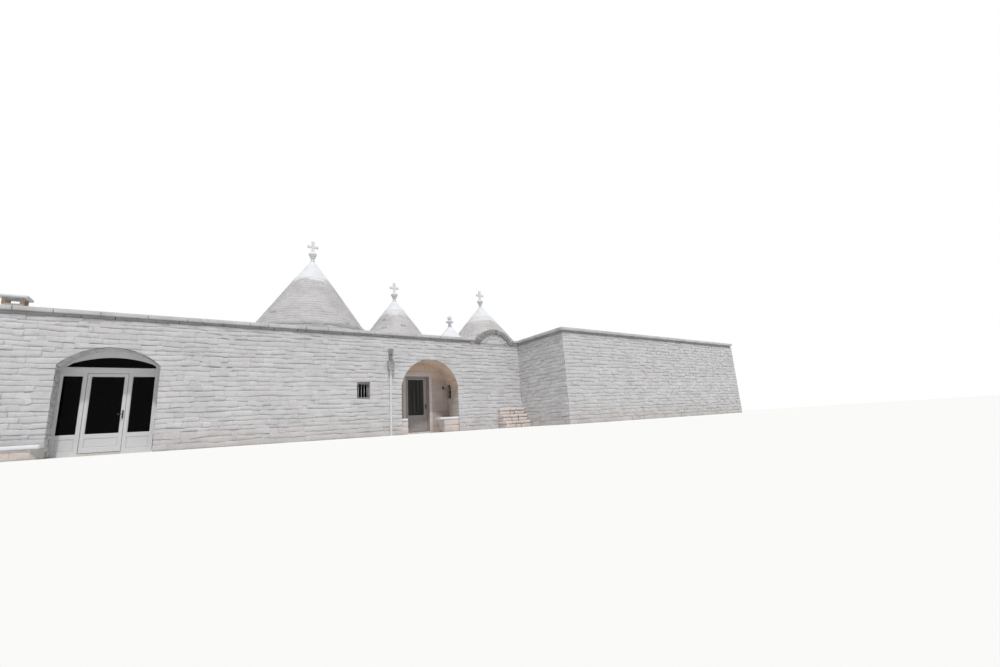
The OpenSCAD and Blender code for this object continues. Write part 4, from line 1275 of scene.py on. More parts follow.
@dataclass
class Porch:
    """Arched porch: sides and vault of limewashed stone with painted warm bounce light, back wall, door
    surround, niche and lamp hook.
    """

    walls: Walls
    door_l: float = 12.385
    door_r: float = 13.405
    door_h: float = 2.26
    niche_v: float = 0.60
    niche_w: float = 0.25
    niche_z0: float = 1.35
    niche_z1: float = 1.9
    niche_d: float = 0.22
    surround: float = 0.12
    lintel: float = 0.20
    hook_at: Pair = (14.02, 1.83)

    def __post_init__(self) -> None:
        """Work out both sides of the porch and where the niche starts from the back."""
        self.left = self.walls.porch_u - self.walls.porch_r
        self.right = self.walls.porch_u + self.walls.porch_r
        self.niche_s = self.walls.thick - self.niche_v - self.niche_w

    def build(self) -> None:
        """Make the stone faces of the porch, its niche and its hook."""
        walls = self.walls
        low = trimmed(walls.levels, 0.0, walls.porch_spring)
        calm = replace(walls.bond, length=0.4, proud=0.013, uneven=0.004, rough=0.003, lean=0.012,
                       wander=0.005, slip=0.0, filled=0.8)
        gap = self.niche_gap(self.niche_z0, ABOVE_ALL)
        sides = Skin.join(walls.sides(self.left, self.right, walls.thick, low, 31, [gap], calm))
        # The porch sides carry painted warm bounce light in their colour
        sides.piece("porch_side_stones", Finish.REVEAL, "limewashed_stone")
        arc = math.asin((self.niche_z1 - walls.porch_spring) / walls.porch_r) * walls.porch_r
        # The vault's tan colour is painted warm bounce light
        vault = StoneField(Soffit(walls.porch_u, walls.porch_spring, walls.porch_r, walls.thick),
                           (0.0, walls.thick), course_levels([0.0, math.pi * walls.porch_r], 0.21, 33),
                           calm, 33, [self.niche_gap(-1.0, arc)], (False, True)).skin()
        vault.piece("porch_vault_stones", Finish.VAULT, "limewashed_stone")
        self.back().piece("porch_back_stones", Finish.BACK, "warm_stone")
        self.frame_stones().piece("porch_door_surround", Finish.DRESSED, "warm_stone")
        self.niche().piece("porch_niche_lining", Finish.NICHE_SHADE, "limewashed_stone")
        self.hook().piece("porch_lamp_hook", Finish.IRON, "dark_metal")
        dress(Finish.BACK, "porch_back_wall", "porch_door_lintel")

    def back(self) -> Skin:
        """Lay the back wall round the door, with painted warm bounce light on the stones from the door's head
        upwards.

        Returns:
            The skin of the back wall.
        """
        head = self.door_h + self.lintel
        levels = course_levels([0.0, head, self.walls.porch_spring + self.walls.porch_r], 0.30, 34)
        bond = Bond(length=0.46, bevel=0.026, proud=0.009, uneven=0.003, rough=0.002, butt=0.2, wander=0.006,
                    slip=0.0, filled=0.5)
        gap = Opening.block(self.door_l - self.left - self.surround, self.door_r - self.left + self.surround,
                            -0.1, head)
        face = Flat((self.left, self.walls.thick, 0.0), FRONTWISE)
        skin = StoneField(face, (0.0, 2.0 * self.walls.porch_r), levels, bond, 35, [gap]).skin()
        # Painted warm bounce light: the warm tint grows from just below the door's head upwards
        warm_bounce = np.clip((skin.verts[:, 2] - self.door_h + 0.5) / 0.6, 0.0, 1.0)
        skin.stone[:, 1] = np.maximum(0.55 * skin.stone[:, 1], warm_bounce)
        return skin

    def frame_stones(self) -> Skin:
        """Model the dressed jambs and lintel that stand a little proud round the porch door.

        Returns:
            The skin of the surround.
        """
        v0, v1, wide = self.walls.thick - 0.018, self.walls.thick + 0.01, self.surround
        jambs = []
        for seed, u0 in ((36, self.door_l - wide), (37, self.door_r)):
            levels = course_levels([0.0, self.door_h], 0.56, seed)
            z = (levels[1:] + levels[:-1]) / 2.0
            halves = columns((levels[1:] - levels[:-1]) / 2.0 - 0.002, wide / 2.0, (v1 - v0) / 2.0)
            axes = np.repeat(UPRIGHT_AXES[None], len(z), axis=0)
            centres = house(u0 + wide / 2.0, (v0 + v1) / 2.0, z)
            jambs.append(blocks(centres, halves, 0.007, seed, axes, 0.003))
        lintel = run_of_blocks((self.door_l - wide, v0, self.door_h + 0.002),
                               (self.door_r + wide, v1, self.door_h + self.lintel), 2.0, 38, 0.007,
                               rough=0.003)
        return Skin.join([*jambs, lintel])

    def niche(self) -> Skin:
        """Lay the far end, the far side, the sill and the top of the niche, with painted shade that darkens
        further in.

        Returns:
            The skin of the lining.
        """
        u0, u1 = self.right - 0.05, self.right + self.niche_d
        v0, v1, z0, z1 = self.niche_v, self.niche_v + self.niche_w, self.niche_z0, self.niche_z1
        bond = Bond(length=0.3, bevel=0.02, proud=0.004, uneven=0.002, rough=0.001, wander=0.006, slip=0.0,
                    filled=0.2)
        faces = ((Flat((u1, v1, 0.0), (0.0, -1.0, 0.0)), v1 - v0, (z0, z1)),
                 (Flat((u0, v1, 0.0), FRONTWISE), u1 - u0, (z0, z1)),
                 (Flat((u0, v0, z0), FRONTWISE, (0.0, 1.0, 0.0)), u1 - u0, (0.0, v1 - v0)),
                 (Flat((u0, v1, z1), FRONTWISE, (0.0, -1.0, 0.0)), u1 - u0, (0.0, v1 - v0)))
        skin = Skin.join(StoneField(face, (0.0, length), course_levels(span, 0.2, seed), bond, seed).skin()
                         for seed, (face, length, span) in enumerate(faces, 39))
        # Painted shade: the tone grows with depth into the niche, so the lining darkens further in
        deep = (skin.verts[:, 0] + SHARED_ORIGIN[0] - self.right) / 0.09
        skin.stone[:, 0] = np.clip(2.2 * deep - 1.1, -0.6, 1.2)
        return skin

    def hook(self) -> Skin:
        """Model a forged hook on the back wall: a plate, a bent bar and a small round shade.

        Returns:
            The skin of the hook.
        """
        (u, z), v, bend_r = self.hook_at, self.walls.thick - 0.012, 0.035
        bend = np.radians(np.linspace(0.0, 180.0, 9))
        bar = columns(u, v - bend_r + bend_r * np.concatenate([[1.0], np.cos(bend), [-1.0]]),
                      z + np.concatenate([[-0.05], bend_r * np.sin(bend), [-0.03]]))
        plate = blocks(house(u, v + 0.004, z - 0.03)[None], np.array([[0.018, 0.004, 0.05]]), 0.003, 43,
                       rough=0.0)
        part = np.linspace(0.0, 1.0, 9)
        bell = columns(0.016 + 0.028 * part[::-1] ** 1.6, -0.045 + 0.075 * part)
        profile = np.concatenate([[[0.0, -0.045]], bell, [[0.0, 0.03]]])
        shade = revolve(profile + [0.0, z - 0.055], u, v - 2.0 * bend_r, 20, 0.0, 44)
        return Skin.join([tube(bar, 0.006, 8), plate, shade])

    def niche_gap(self, low: float, high: float) -> Opening:
        """Return the niche as a gap between two heights, measured from the back of the porch."""
        return Opening.block(self.niche_s, self.niche_s + self.niche_w, low, high)


@dataclass(frozen=True)
class Cone:
    """One stone cone: place, drum, slope, cap and how weathered it is."""

    name: str
    u: float
    v: float
    drum_r: float
    drum_h: float
    ledge: float
    rise: float
    cap_h: float
    weathered: float
    seed: int

    @property
    def slope(self) -> float:
        """Height gained per length towards the axis."""
        return (self.rise - self.drum_h) / (self.drum_r - self.ledge)

    @property
    def tip_z(self) -> float:
        """Height where the pinnacle starts."""
        return round(ROOF_Z + self.rise - NECK_R * self.slope, 3)


def apart(reach: float, other: float, gap: float, offset: float) -> float:
    """Return how far apart along the front two round feet stand, one deeper in by an offset."""
    return math.sqrt((reach + other + gap) ** 2 - offset ** 2)


def chained_cones() -> list[Cone]:
    """Place the four cones from the wing corner leftwards, each a clear gap from the next."""
    right_u = WING_CORNER + 0.525
    small_u = right_u - apart(1.70, 0.97, 0.15, 1.2)
    middle_u = small_u - apart(1.43, 0.97, 0.235, 1.4)
    big_u = middle_u - apart(2.27, 1.43, 0.252, 0.7)
    return [Cone("big", big_u, 3.3, 2.27, 0.52, 0.104, 3.78, 0.98, 0.9, 41),
            Cone("middle", middle_u, 4.0, 1.43, 0.67, 0.036, 2.65, 0.59, 0.0, 42),
            Cone("small", small_u, 2.6, 0.97, 0.08, 0.02, 1.21, 0.82, 0.0, 43),
            Cone("right", right_u, 3.8, 1.70, 0.67, 0.025, 2.78, 0.68, 0.0, 44)]


@dataclass
class ConeRoofs:
    """Courses, plaster caps and pinnacles of the four cones."""

    cones: list[Cone] = field(default_factory=chained_cones)
    course_h: float = 0.112
    course_ledge: float = 0.024
    flatness: float = 0.04
    neck_h: float = 0.15
    collar_h: float = 0.052
    ball_r: float = 0.162
    ball_h: float = 0.218
    stone_bond: Bond = field(default_factory=lambda: Bond(
        length=0.34, joint=0.004, bevel=0.026, proud=0.013, uneven=0.003, rough=0.003, lean=0.02,
        wander=0.005, butt=0.8, slip=0.0, filled=0.7, sunk=0.012))

    def courses(self, cone: Cone) -> Skin:
        """Lay the leaning courses of one cone over those of the CAD node, whitewashed below its cap.

        The stones are shorter where the cone is narrow, so that their flat faces follow the round.

        Args:
            cone: The cone.

        Returns:
            The skin of its drum and courses.
        """
        rng = np.random.default_rng(cone.seed)
        foot_r, top_r = cone.drum_r - cone.ledge, cone.cap_h / cone.slope
        z0, z1 = ROOF_Z + cone.drum_h, ROOF_Z + cone.rise - cone.cap_h
        rows = max(1, round((z1 - z0) / self.course_h))
        dr, dz = (foot_r - top_r) / rows, (z1 - z0) / rows
        skins = []
        for i in range(rows):
            reach, upper = foot_r - i * dr, foot_r - (i + 1) * dr + self.course_ledge
            face = Ledge(cone.u, cone.v, (reach, z0 + i * dz), (upper, z0 + (i + 1) * dz),
                         rng.uniform(0.0, 6.28))
            length = min(self.stone_bond.length, math.sqrt(self.flatness * reach))
            bond = replace(self.stone_bond, length=length)
            skins.append(StoneField(face, (0.0, face.girth), np.array([0.0, face.slant]), bond,
                                    cone.seed * 100 + i).skin())
        drum = Ledge(cone.u, cone.v, (cone.drum_r, ROOF_Z), (cone.drum_r, z0), rng.uniform(0.0, 6.28))
        levels = course_levels([0.0, cone.drum_h], 0.165, cone.seed)
        skins.append(StoneField(drum, (0.0, drum.girth), levels, Bond(), cone.seed + 7).skin())
        skin = Skin.join(skins)
        below = z1 - (skin.verts + SHARED_ORIGIN)[:, 2] - 0.1 + 0.16 * Ripple(cone.seed + 8, 0.4)(skin.verts)
        washed = 1.0 - np.clip(below / (0.5 - 0.3 * cone.weathered), 0.0, 1.0)
        skin.stone = skin.stone + ([cone.weathered, 0.0, 0.0] - washed[:, None] * [6.5, 0.0, 0.5])
        return skin

    def cap(self, cone: Cone) -> Skin:
        """Model a plaster cap: a leaning skin with a wavy lip below, closed underneath.

        Args:
            cone: The cone.

        Returns:
            The skin of the cap.
        """
        z0, top = ROOF_Z + cone.rise - cone.cap_h, cone.tip_z
        foot = cone.cap_h / cone.slope
        part = np.linspace(0.0, 1.0, 26)
        radius = (foot + 0.022) * (1.0 - part) + NECK_R * part
        side = columns(radius, z0 + (top - z0) * part)
        lip = np.array([[0.0, z0 - 0.05], [foot - 0.04, z0 - 0.05], [foot + 0.040, z0 - 0.052],
                        [foot + 0.046, z0 - 0.03]])
        profile = np.concatenate([lip, side, [[0.0, top]]])
        return revolve(profile, cone.u, cone.v, 96, 0.009, cone.seed + 3, 0.035)

    def cross_head(self, cone: Cone) -> Skin:
        """Model a neck, a rounded collar, a flattened ball and a cross with flared arms.

        Args:
            cone: The cone.

        Returns:
            The skin of the pinnacle.
        """
        swell = np.radians(np.linspace(-84.0, 90.0, 22))
        bulge = np.sign(np.cos(swell)) * np.abs(np.cos(swell)) ** 0.72
        middle = self.neck_h + self.collar_h + self.ball_h / 2.0
        ball = columns(self.ball_r * bulge, middle + self.ball_h / 2.0 * np.sin(swell))
        collar = half_round(0.092, self.neck_h + self.collar_h / 2.0, 0.026, 0.026)
        body = turned_head(cone, [waisted(0.0, self.neck_h, 0.026, 13), collar, ball])
        centre = self.neck_h + self.collar_h + self.ball_h - 0.05 + 0.275
        return Skin.join([body, self.arm(cone, cone.tip_z + centre, 0.55, 0.084, True),
                          self.arm(cone, cone.tip_z + centre + 0.02, 0.43, 0.078, False)])

    def arm(self, cone: Cone, z: float, length: float, thick: float, upright: bool) -> Skin:
        """Model one bar of a cross: a rounded bar that is wider at both ends.

        Args:
            cone: The cone that carries it.
            z: Height of its middle.
            length: Length of the bar.
            thick: Thickness from front to back.
            upright: Whether it stands upright.

        Returns:
            The skin of the bar.
        """
        axes = UPRIGHT_AXES if upright else LEVEL_AXES
        place = house(cone.u, cone.v, z)
        skin = blocks(place[None], np.array([[length / 2, 0.064, thick / 2]]), 0.012, cone.seed + 9,
                      axes[None], 0.002, stations=9)
        local = skin.verts - place
        along, side = (2, 0) if upright else (0, 2)
        flare = 0.72 + 0.28 * np.abs(local[:, along]) / (length / 2)
        skin.verts[:, side] += local[:, side] * (flare - 1.0)
        return skin

    def small_head(self, cone: Cone) -> Skin:
        """Model the plain pinnacle of the small cone: neck, wide collar, neck and round head."""
        return turned_head(cone, [waisted(0.0, 0.20, 0.026, 11), half_round(0.150, 0.24, 0.03, 0.04),
                                  waisted(0.28, 0.06, 0.02, 11), half_round(0.055, 0.435, 0.043, 0.095),
                                  np.array([[0.0, 0.53]])])

    def build(self) -> None:
        """Make the courses, caps and pinnacles."""
        for cone in self.cones:
            finish, core = Finish.CONE, Finish.CONE_CORE
            if cone.name == "small":
                finish = core = Finish.PLASTER
            self.courses(cone).piece(f"{cone.name}_cone_stones", finish, "limewashed_stone")
            dress(core, f"{cone.name}_cone")
        small = [cone for cone in self.cones if cone.name == "small"]
        large = [cone for cone in self.cones if cone.name != "small"]
        for name, model, cones, node in (("plaster_caps", self.cap, self.cones, "cone_caps"),
                                         ("carved_crosses", self.cross_head, large, "cross_pinnacles"),
                                         ("carved_small_head", self.small_head, small, "small_pinnacle")):
            skin = Skin.join(model(cone) for cone in cones)
            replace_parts(skin.piece(name, Finish.PLASTER, "lime_plaster", weld=True), node)


def half_round(radius: float, z: float, out: float, half_h: float) -> Array:
    """Return the profile of a rounded collar: nine radius and height pairs."""
    turn = np.radians(np.linspace(-90.0, 90.0, 9))
    return columns(radius + out * np.cos(turn), z + half_h * np.sin(turn))


def waisted(z: float, height: float, bow: float, points: int) -> Array:
    """Return the profile of a neck that is thinnest halfway up."""
    part = np.linspace(0.0, 1.0, points)
    return columns(NECK_R + bow * (2.0 * part - 1.0) ** 2, z + height * part)


def turned_head(cone: Cone, profiles: Sequence[Array]) -> Skin:
    """Turn profiles, one above the other, on the tip of a cone."""
    profile = np.concatenate([[[0.0, 0.0]], *profiles])
    return revolve(profile + [0.0, cone.tip_z], cone.u, cone.v, 40, 0.003, cone.seed + 5)


@dataclass
class RoofEdge:
    """Cornice slabs, the arched gable, the roof slabs and the chimney."""

    out: float = 0.08
    bed: float = 3.69
    high: float = 3.8
    gable_u: float = 16.1504
    gable_r: float = 1.06
    gable_drop: float = 0.4
    gable_deep: float = 0.3
    gable_ring: float = 0.21
    gable_fan: float = 0.22
    gable_stones: int = 21
    chimney_u: float = 1.39
    chimney_v: float = 1.2

    def __post_init__(self) -> None:
        """Work out the centre of the gable's circle and its two ends on the eave line."""
        self.gable_z = EAVE_Z - self.gable_drop
        half = math.sqrt(self.gable_r ** 2 - self.gable_drop ** 2)
        self.gable_left, self.gable_right = self.gable_u - half, self.gable_u + half

    def cornice(self) -> None:
        """Make the cornice: a flush course of stones, painted dark as the slabs' shadow, and over it separate
        slabs that stand out.
        """
        # The flush bed course carries painted shade from its finish; the slabs above stand out
        courses = ((Finish.SHADOWED_BED, "bed", 0.0, EAVE_Z, self.bed, 0.5, 50),
                   (Finish.SLAB, "slabs", self.out, self.bed, self.high, 0.85, 500))
        for finish, name, out, z0, z1, length, seed in courses:
            end, back = MAIN_END + out, MAIN_BACK + out
            wing_l, wing_r = WING_CORNER - out, WING_END + out
            wing_f, wing_b = WING_FRONT - out, WING_BACK + out
            runs = ((-out, -out, self.gable_left, RIM), (self.gable_right, -out, wing_l, RIM),
                    (MAIN_END - RIM, wing_b, end, MAIN_BACK - RIM), (-out, MAIN_BACK - RIM, end, back),
                    (-out, RIM, RIM, MAIN_BACK - RIM),
                    (wing_l, WING_FRONT + RIM, WING_CORNER + RIM, RIM),
                    (wing_l, wing_f, wing_r, WING_FRONT + RIM),
                    (WING_END - RIM, WING_FRONT + RIM, wing_r, WING_BACK - RIM),
                    (MAIN_END - RIM, WING_BACK - RIM, wing_r, wing_b))
            skins = [run_of_blocks((u0, v0, z0), (u1, v1, z1), length, seed + turn, 0.010, 0.0015, 0.008)
                     for turn, (u0, v0, u1, v1) in enumerate(runs, 1)]
            main = Skin.join(skins[:5]).piece(f"main_cornice_{name}", finish, "lime_plaster")
            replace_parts(main, "main_cornice")
            wing = Skin.join(skins[5:]).piece(f"wing_cornice_{name}", finish, "lime_plaster")
            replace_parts(wing, "wing_cornice")

    def gable(self) -> None:
        """Make the gable: radial stones and impost stones, both darkened with painted shade, an inner fan and
        the wall inside it.
        """
        # The arch stones are weathered grey and darkened with painted shade
        ring = self.radial_stones().piece("gable_arch_stones", Finish.RING, "lime_plaster")
        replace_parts(ring, "gable_arch")
        feet = [run_of_blocks((u, -0.05, EAVE_Z - 0.06), (u + 0.26, 0.02, self.bed - 0.002), 1.0, 64, 0.014,
                              rough=0.01) for u in (self.gable_left - 0.27, self.gable_right + 0.01)]
        # The impost stones carry the painted shade of the bed course
        Skin.join(feet).piece("gable_impost_stones", Finish.SHADOWED_BED, "lime_plaster")
        inner = self.gable_r - self.gable_ring - self.gable_fan
        foot = math.asin(self.gable_drop / (self.gable_r - self.gable_ring))
        bond = Bond(length=0.3, bevel=0.02, joint=0.006, wander=0.003, slip=0.0, filled=0.5)
        fan = StoneField(Fan(self.gable_u, self.gable_z, inner, foot), (0.0, self.gable_fan),
                         course_levels([0.0, (math.pi - 2.0 * foot) * inner], 0.085, 63), bond, 63).skin()
        fan.verts[:, 2] = np.maximum(fan.verts[:, 2], EAVE_Z)
        wall = StoneField(Flat((self.gable_u - inner, 0.0, 0.0), FRONTWISE), (0.0, 2.0 * inner),
                          course_levels([EAVE_Z, self.gable_z + inner - 0.02], 0.16, 62),
                          Bond(length=0.3, proud=0.008), 62, curved_from=0)
        wall.edges[0] = lambda t: inner - half_chord(t, self.gable_z, inner)
        wall.edges[1] = lambda t: inner + half_chord(t, self.gable_z, inner)
        Skin.join([wall.skin(), fan]).piece("gable_wall_stones", Finish.WALL, "limewashed_stone")
        dress(Finish.CORE, "gable_wall")

    def radial_stones(self) -> Skin:
        """Model the stones of the gable's arch: rounded blocks that widen outwards.

        Returns:
            The skin of the arch, level at its feet.
        """
        foot = math.asin(self.gable_drop / self.gable_r)
        turn = (math.pi - 2.0 * foot) / self.gable_stones
        angle = foot + turn * (np.arange(self.gable_stones) + 0.5)
        middle = self.gable_r - self.gable_ring / 2.0
        deep = self.gable_deep / 2.0
        centres = house(self.gable_u + middle * np.cos(angle), deep - self.out / 2.0,
                        self.gable_z + middle * np.sin(angle))
        half = [deep + self.out / 2.0, middle * turn / 2.0 - 0.0035, self.gable_ring / 2.0]
        axes = np.stack([columns(0.0 * angle, -1.0, 0.0), columns(-np.sin(angle), 0.0, np.cos(angle)),
                         columns(np.cos(angle), 0.0, np.sin(angle))], axis=1)
        skin = blocks(centres, np.repeat([half], self.gable_stones, axis=0), 0.022, 61, axes, 0.012,
                      taper=middle, wave=0.12)
        skin.verts[:, 2] = np.maximum(skin.verts[:, 2], EAVE_Z)
        return skin

    def paving(self, cones: Sequence[Cone]) -> None:
        """Lay low limestone slabs on the flat roofs, cut round the cones.

        Args:
            cones: The cones that stand on the roof.
        """
        bond = Bond(length=0.62, spread=0.6, joint=0.014, bevel=0.03, proud=0.007, uneven=0.002, rough=0.002,
                    lean=0.01, wander=0.008, slip=0.0, filled=0.4)
        face = Flat((0.0, 0.0, ROOF_Z), FRONTWISE, (0.0, 1.0, 0.0))
        gaps = [Opening.disc(cone.u, cone.v, cone.drum_r - 0.06) for cone in cones]
        roofs = ((RIM, RIM, MAIN_END - RIM, MAIN_BACK - RIM, gaps),
                 (MAIN_END - RIM, WING_FRONT + RIM, WING_END - RIM, WING_BACK - RIM, ()),
                 (WING_CORNER + RIM, WING_FRONT + RIM, MAIN_END - RIM, RIM, ()))
        slabs = [StoneField(face, (u0, u1), course_levels([v0, v1], 0.44, seed), bond, seed, near).skin()
                 for seed, (u0, v0, u1, v1, near) in enumerate(roofs, 70)]
        Skin.join(slabs).piece("roof_slabs", Finish.PAVING, "lime_plaster")
        dress(Finish.PAVING, "main_roof", "wing_roof")

    def chimney(self) -> None:
        """Make the chimney: a plastered box and four legs, tan and darkened with painted shade, and a slab
        with worn edges.
        """
        u, v, leg = self.chimney_u, self.chimney_v, 0.08
        box_top, leg_top, slab_top = ROOF_Z + 0.33, ROOF_Z + 0.49, ROOF_Z + 0.56
        parts = [run_of_blocks((u - 0.21, v - 0.2, ROOF_Z), (u + 0.21, v + 0.2, box_top), 1.0, 81, 0.014,
                               rough=0.006)]
        for seed, (du, dv) in enumerate(((-0.21, -0.2), (0.13, -0.2), (-0.21, 0.12), (0.13, 0.12)), 82):
            parts.append(run_of_blocks((u + du, v + dv, box_top - 0.01),
                                       (u + du + leg, v + dv + leg, leg_top + 0.01), 1.0, seed, 0.01,
                                       rough=0.003))
        slab = run_of_blocks((u - 0.29, v - 0.28, leg_top), (u + 0.29, v + 0.28, slab_top), 1.0, 88, 0.018,
                             rough=0.008)
        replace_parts(Skin.join(parts).piece("chimney_box", Finish.CHIMNEY, "lime_plaster"), "chimney")
        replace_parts(slab.piece("chimney_slab", Finish.PLASTER, "lime_plaster"), "chimney")

    def build(self, cones: Sequence[Cone]) -> None:
        """Make everything along the roof."""
        self.cornice()
        self.gable()
        self.paving(cones)
        self.chimney()


@dataclass
class Seats:
    """Stone bench by the glazed door, seats in the porch and steps in the corner of the wing."""

    bench: Pair = (0.25, 2.66)
    bench_dep: float = 0.42
    bench_h: float = 0.25
    slab_t: float = 0.09
    step_w: float = 1.3
    step_run: float = 0.2
    step_rise: float = 0.272
    step_slab: float = 0.115
    steps: int = 3
    bond: Bond = field(default_factory=lambda: Bond(
        length=0.36, joint=0.010, bevel=0.04, proud=0.012, uneven=0.006, rough=0.006, slip=0.0, filled=0.2))

    def slabs(self) -> Skin:
        """Model the slabs of the bench and of both seats in the porch.

        Returns:
            The skin of the slabs.
        """
        u0, u1 = self.bench
        bench = run_of_blocks((u0 - 0.05, -self.bench_dep - 0.06, self.bench_h),
                              (u1 - 0.02, 0.0, self.bench_h + self.slab_t), 1.0, 91, 0.022, rough=0.012)
        left = run_of_blocks((11.85, 0.14, 0.49), (12.177, 0.54, 0.58), 1.0, 92, 0.02, rough=0.009)
        right = run_of_blocks((13.45, 0.02, 0.48), (14.27, 0.54, 0.57), 1.0, 93, 0.02, rough=0.009)
        return Skin.join([bench, left, right])

    def face(self, start: Pair, run: Pair, length: float, levels: Array,
             seed: int, wraps: Ends) -> Skin:
        """Lay one upright face of a seat from its left end seen from outside."""
        return StoneField(Flat((*start, 0.0), (*run, 0.0)), (0.0, length), levels, self.bond, seed,
                          wraps=wraps).skin()

    def block_faces(self) -> Skin:
        """Lay the stones under the slabs; the bench's right end is round.

        Returns:
            The skin of all the faces.
        """
        u0, u1 = self.bench
        radius = self.bench_dep / 2.0
        levels = course_levels([0.0, self.bench_h], 0.18, 94)
        end = Ledge(u1 - radius, -radius, (radius, 0.0), (radius, self.bench_h), -math.pi / 2)
        bench = [self.face((u0, -self.bench_dep), (1.0, 0.0), u1 - u0 - radius, levels, 94, (True, False)),
                 StoneField(end, (0.0, end.girth / 2.0), levels, self.bond, 95).skin(),
                 self.face((u0, 0.0), (0.0, -1.0), self.bench_dep, levels, 96, (False, True))]
        levels = course_levels([0.0, 0.485], 0.24, 97)
        sides = (((11.85, 0.18), (1.0, 0.0), 0.315, (False, True)),
                 ((12.165, 0.18), (0.0, 1.0), 0.32, (True, False)),
                 ((13.63, 0.06), (1.0, 0.0), 0.64, (True, False)),
                 ((13.63, 0.5), (0.0, -1.0), 0.44, (False, True)))
        porch = [self.face(start, run, length, levels, seed, wraps)
                 for seed, (start, run, length, wraps) in enumerate(sides, 97)]
        return Skin.join(bench + porch)

    def corner_steps(self) -> Skin:
        """Model the steps: each a row of long rounded slabs over a course of big rough blocks.

        Returns:
            The skin of the steps.
        """
        skins = []
        u0, u1 = WING_CORNER - self.step_w, WING_CORNER
        for i in range(self.steps):
            v0, top = -(i + 1) * self.step_run, (self.steps - i) * self.step_rise
            for seed, z0, z1, inset in ((110, top - self.step_slab, top, 0.0),
                                        (120, top - self.step_rise, top - self.step_slab - 0.004, 0.018)):
                skins.append(run_of_blocks((u0 + inset, v0 + inset, z0), (u1, 0.0, z1), 0.46, seed + i, 0.034,
                                           0.008, 0.016))
        return Skin.join(skins)

    def build(self) -> None:
        """Make the bench, the seats and the steps."""
        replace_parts(self.slabs().piece("seat_slab_stones", Finish.PLASTER, "lime_plaster"), "seat_slabs")
        self.block_faces().piece("seat_block_stones", Finish.STEP, "limewashed_stone")
        dress(Finish.CORE, "seat_blocks")
        steps = self.corner_steps().piece("corner_step_stones", Finish.STEP, "warm_stone")
        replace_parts(steps, "corner_steps")


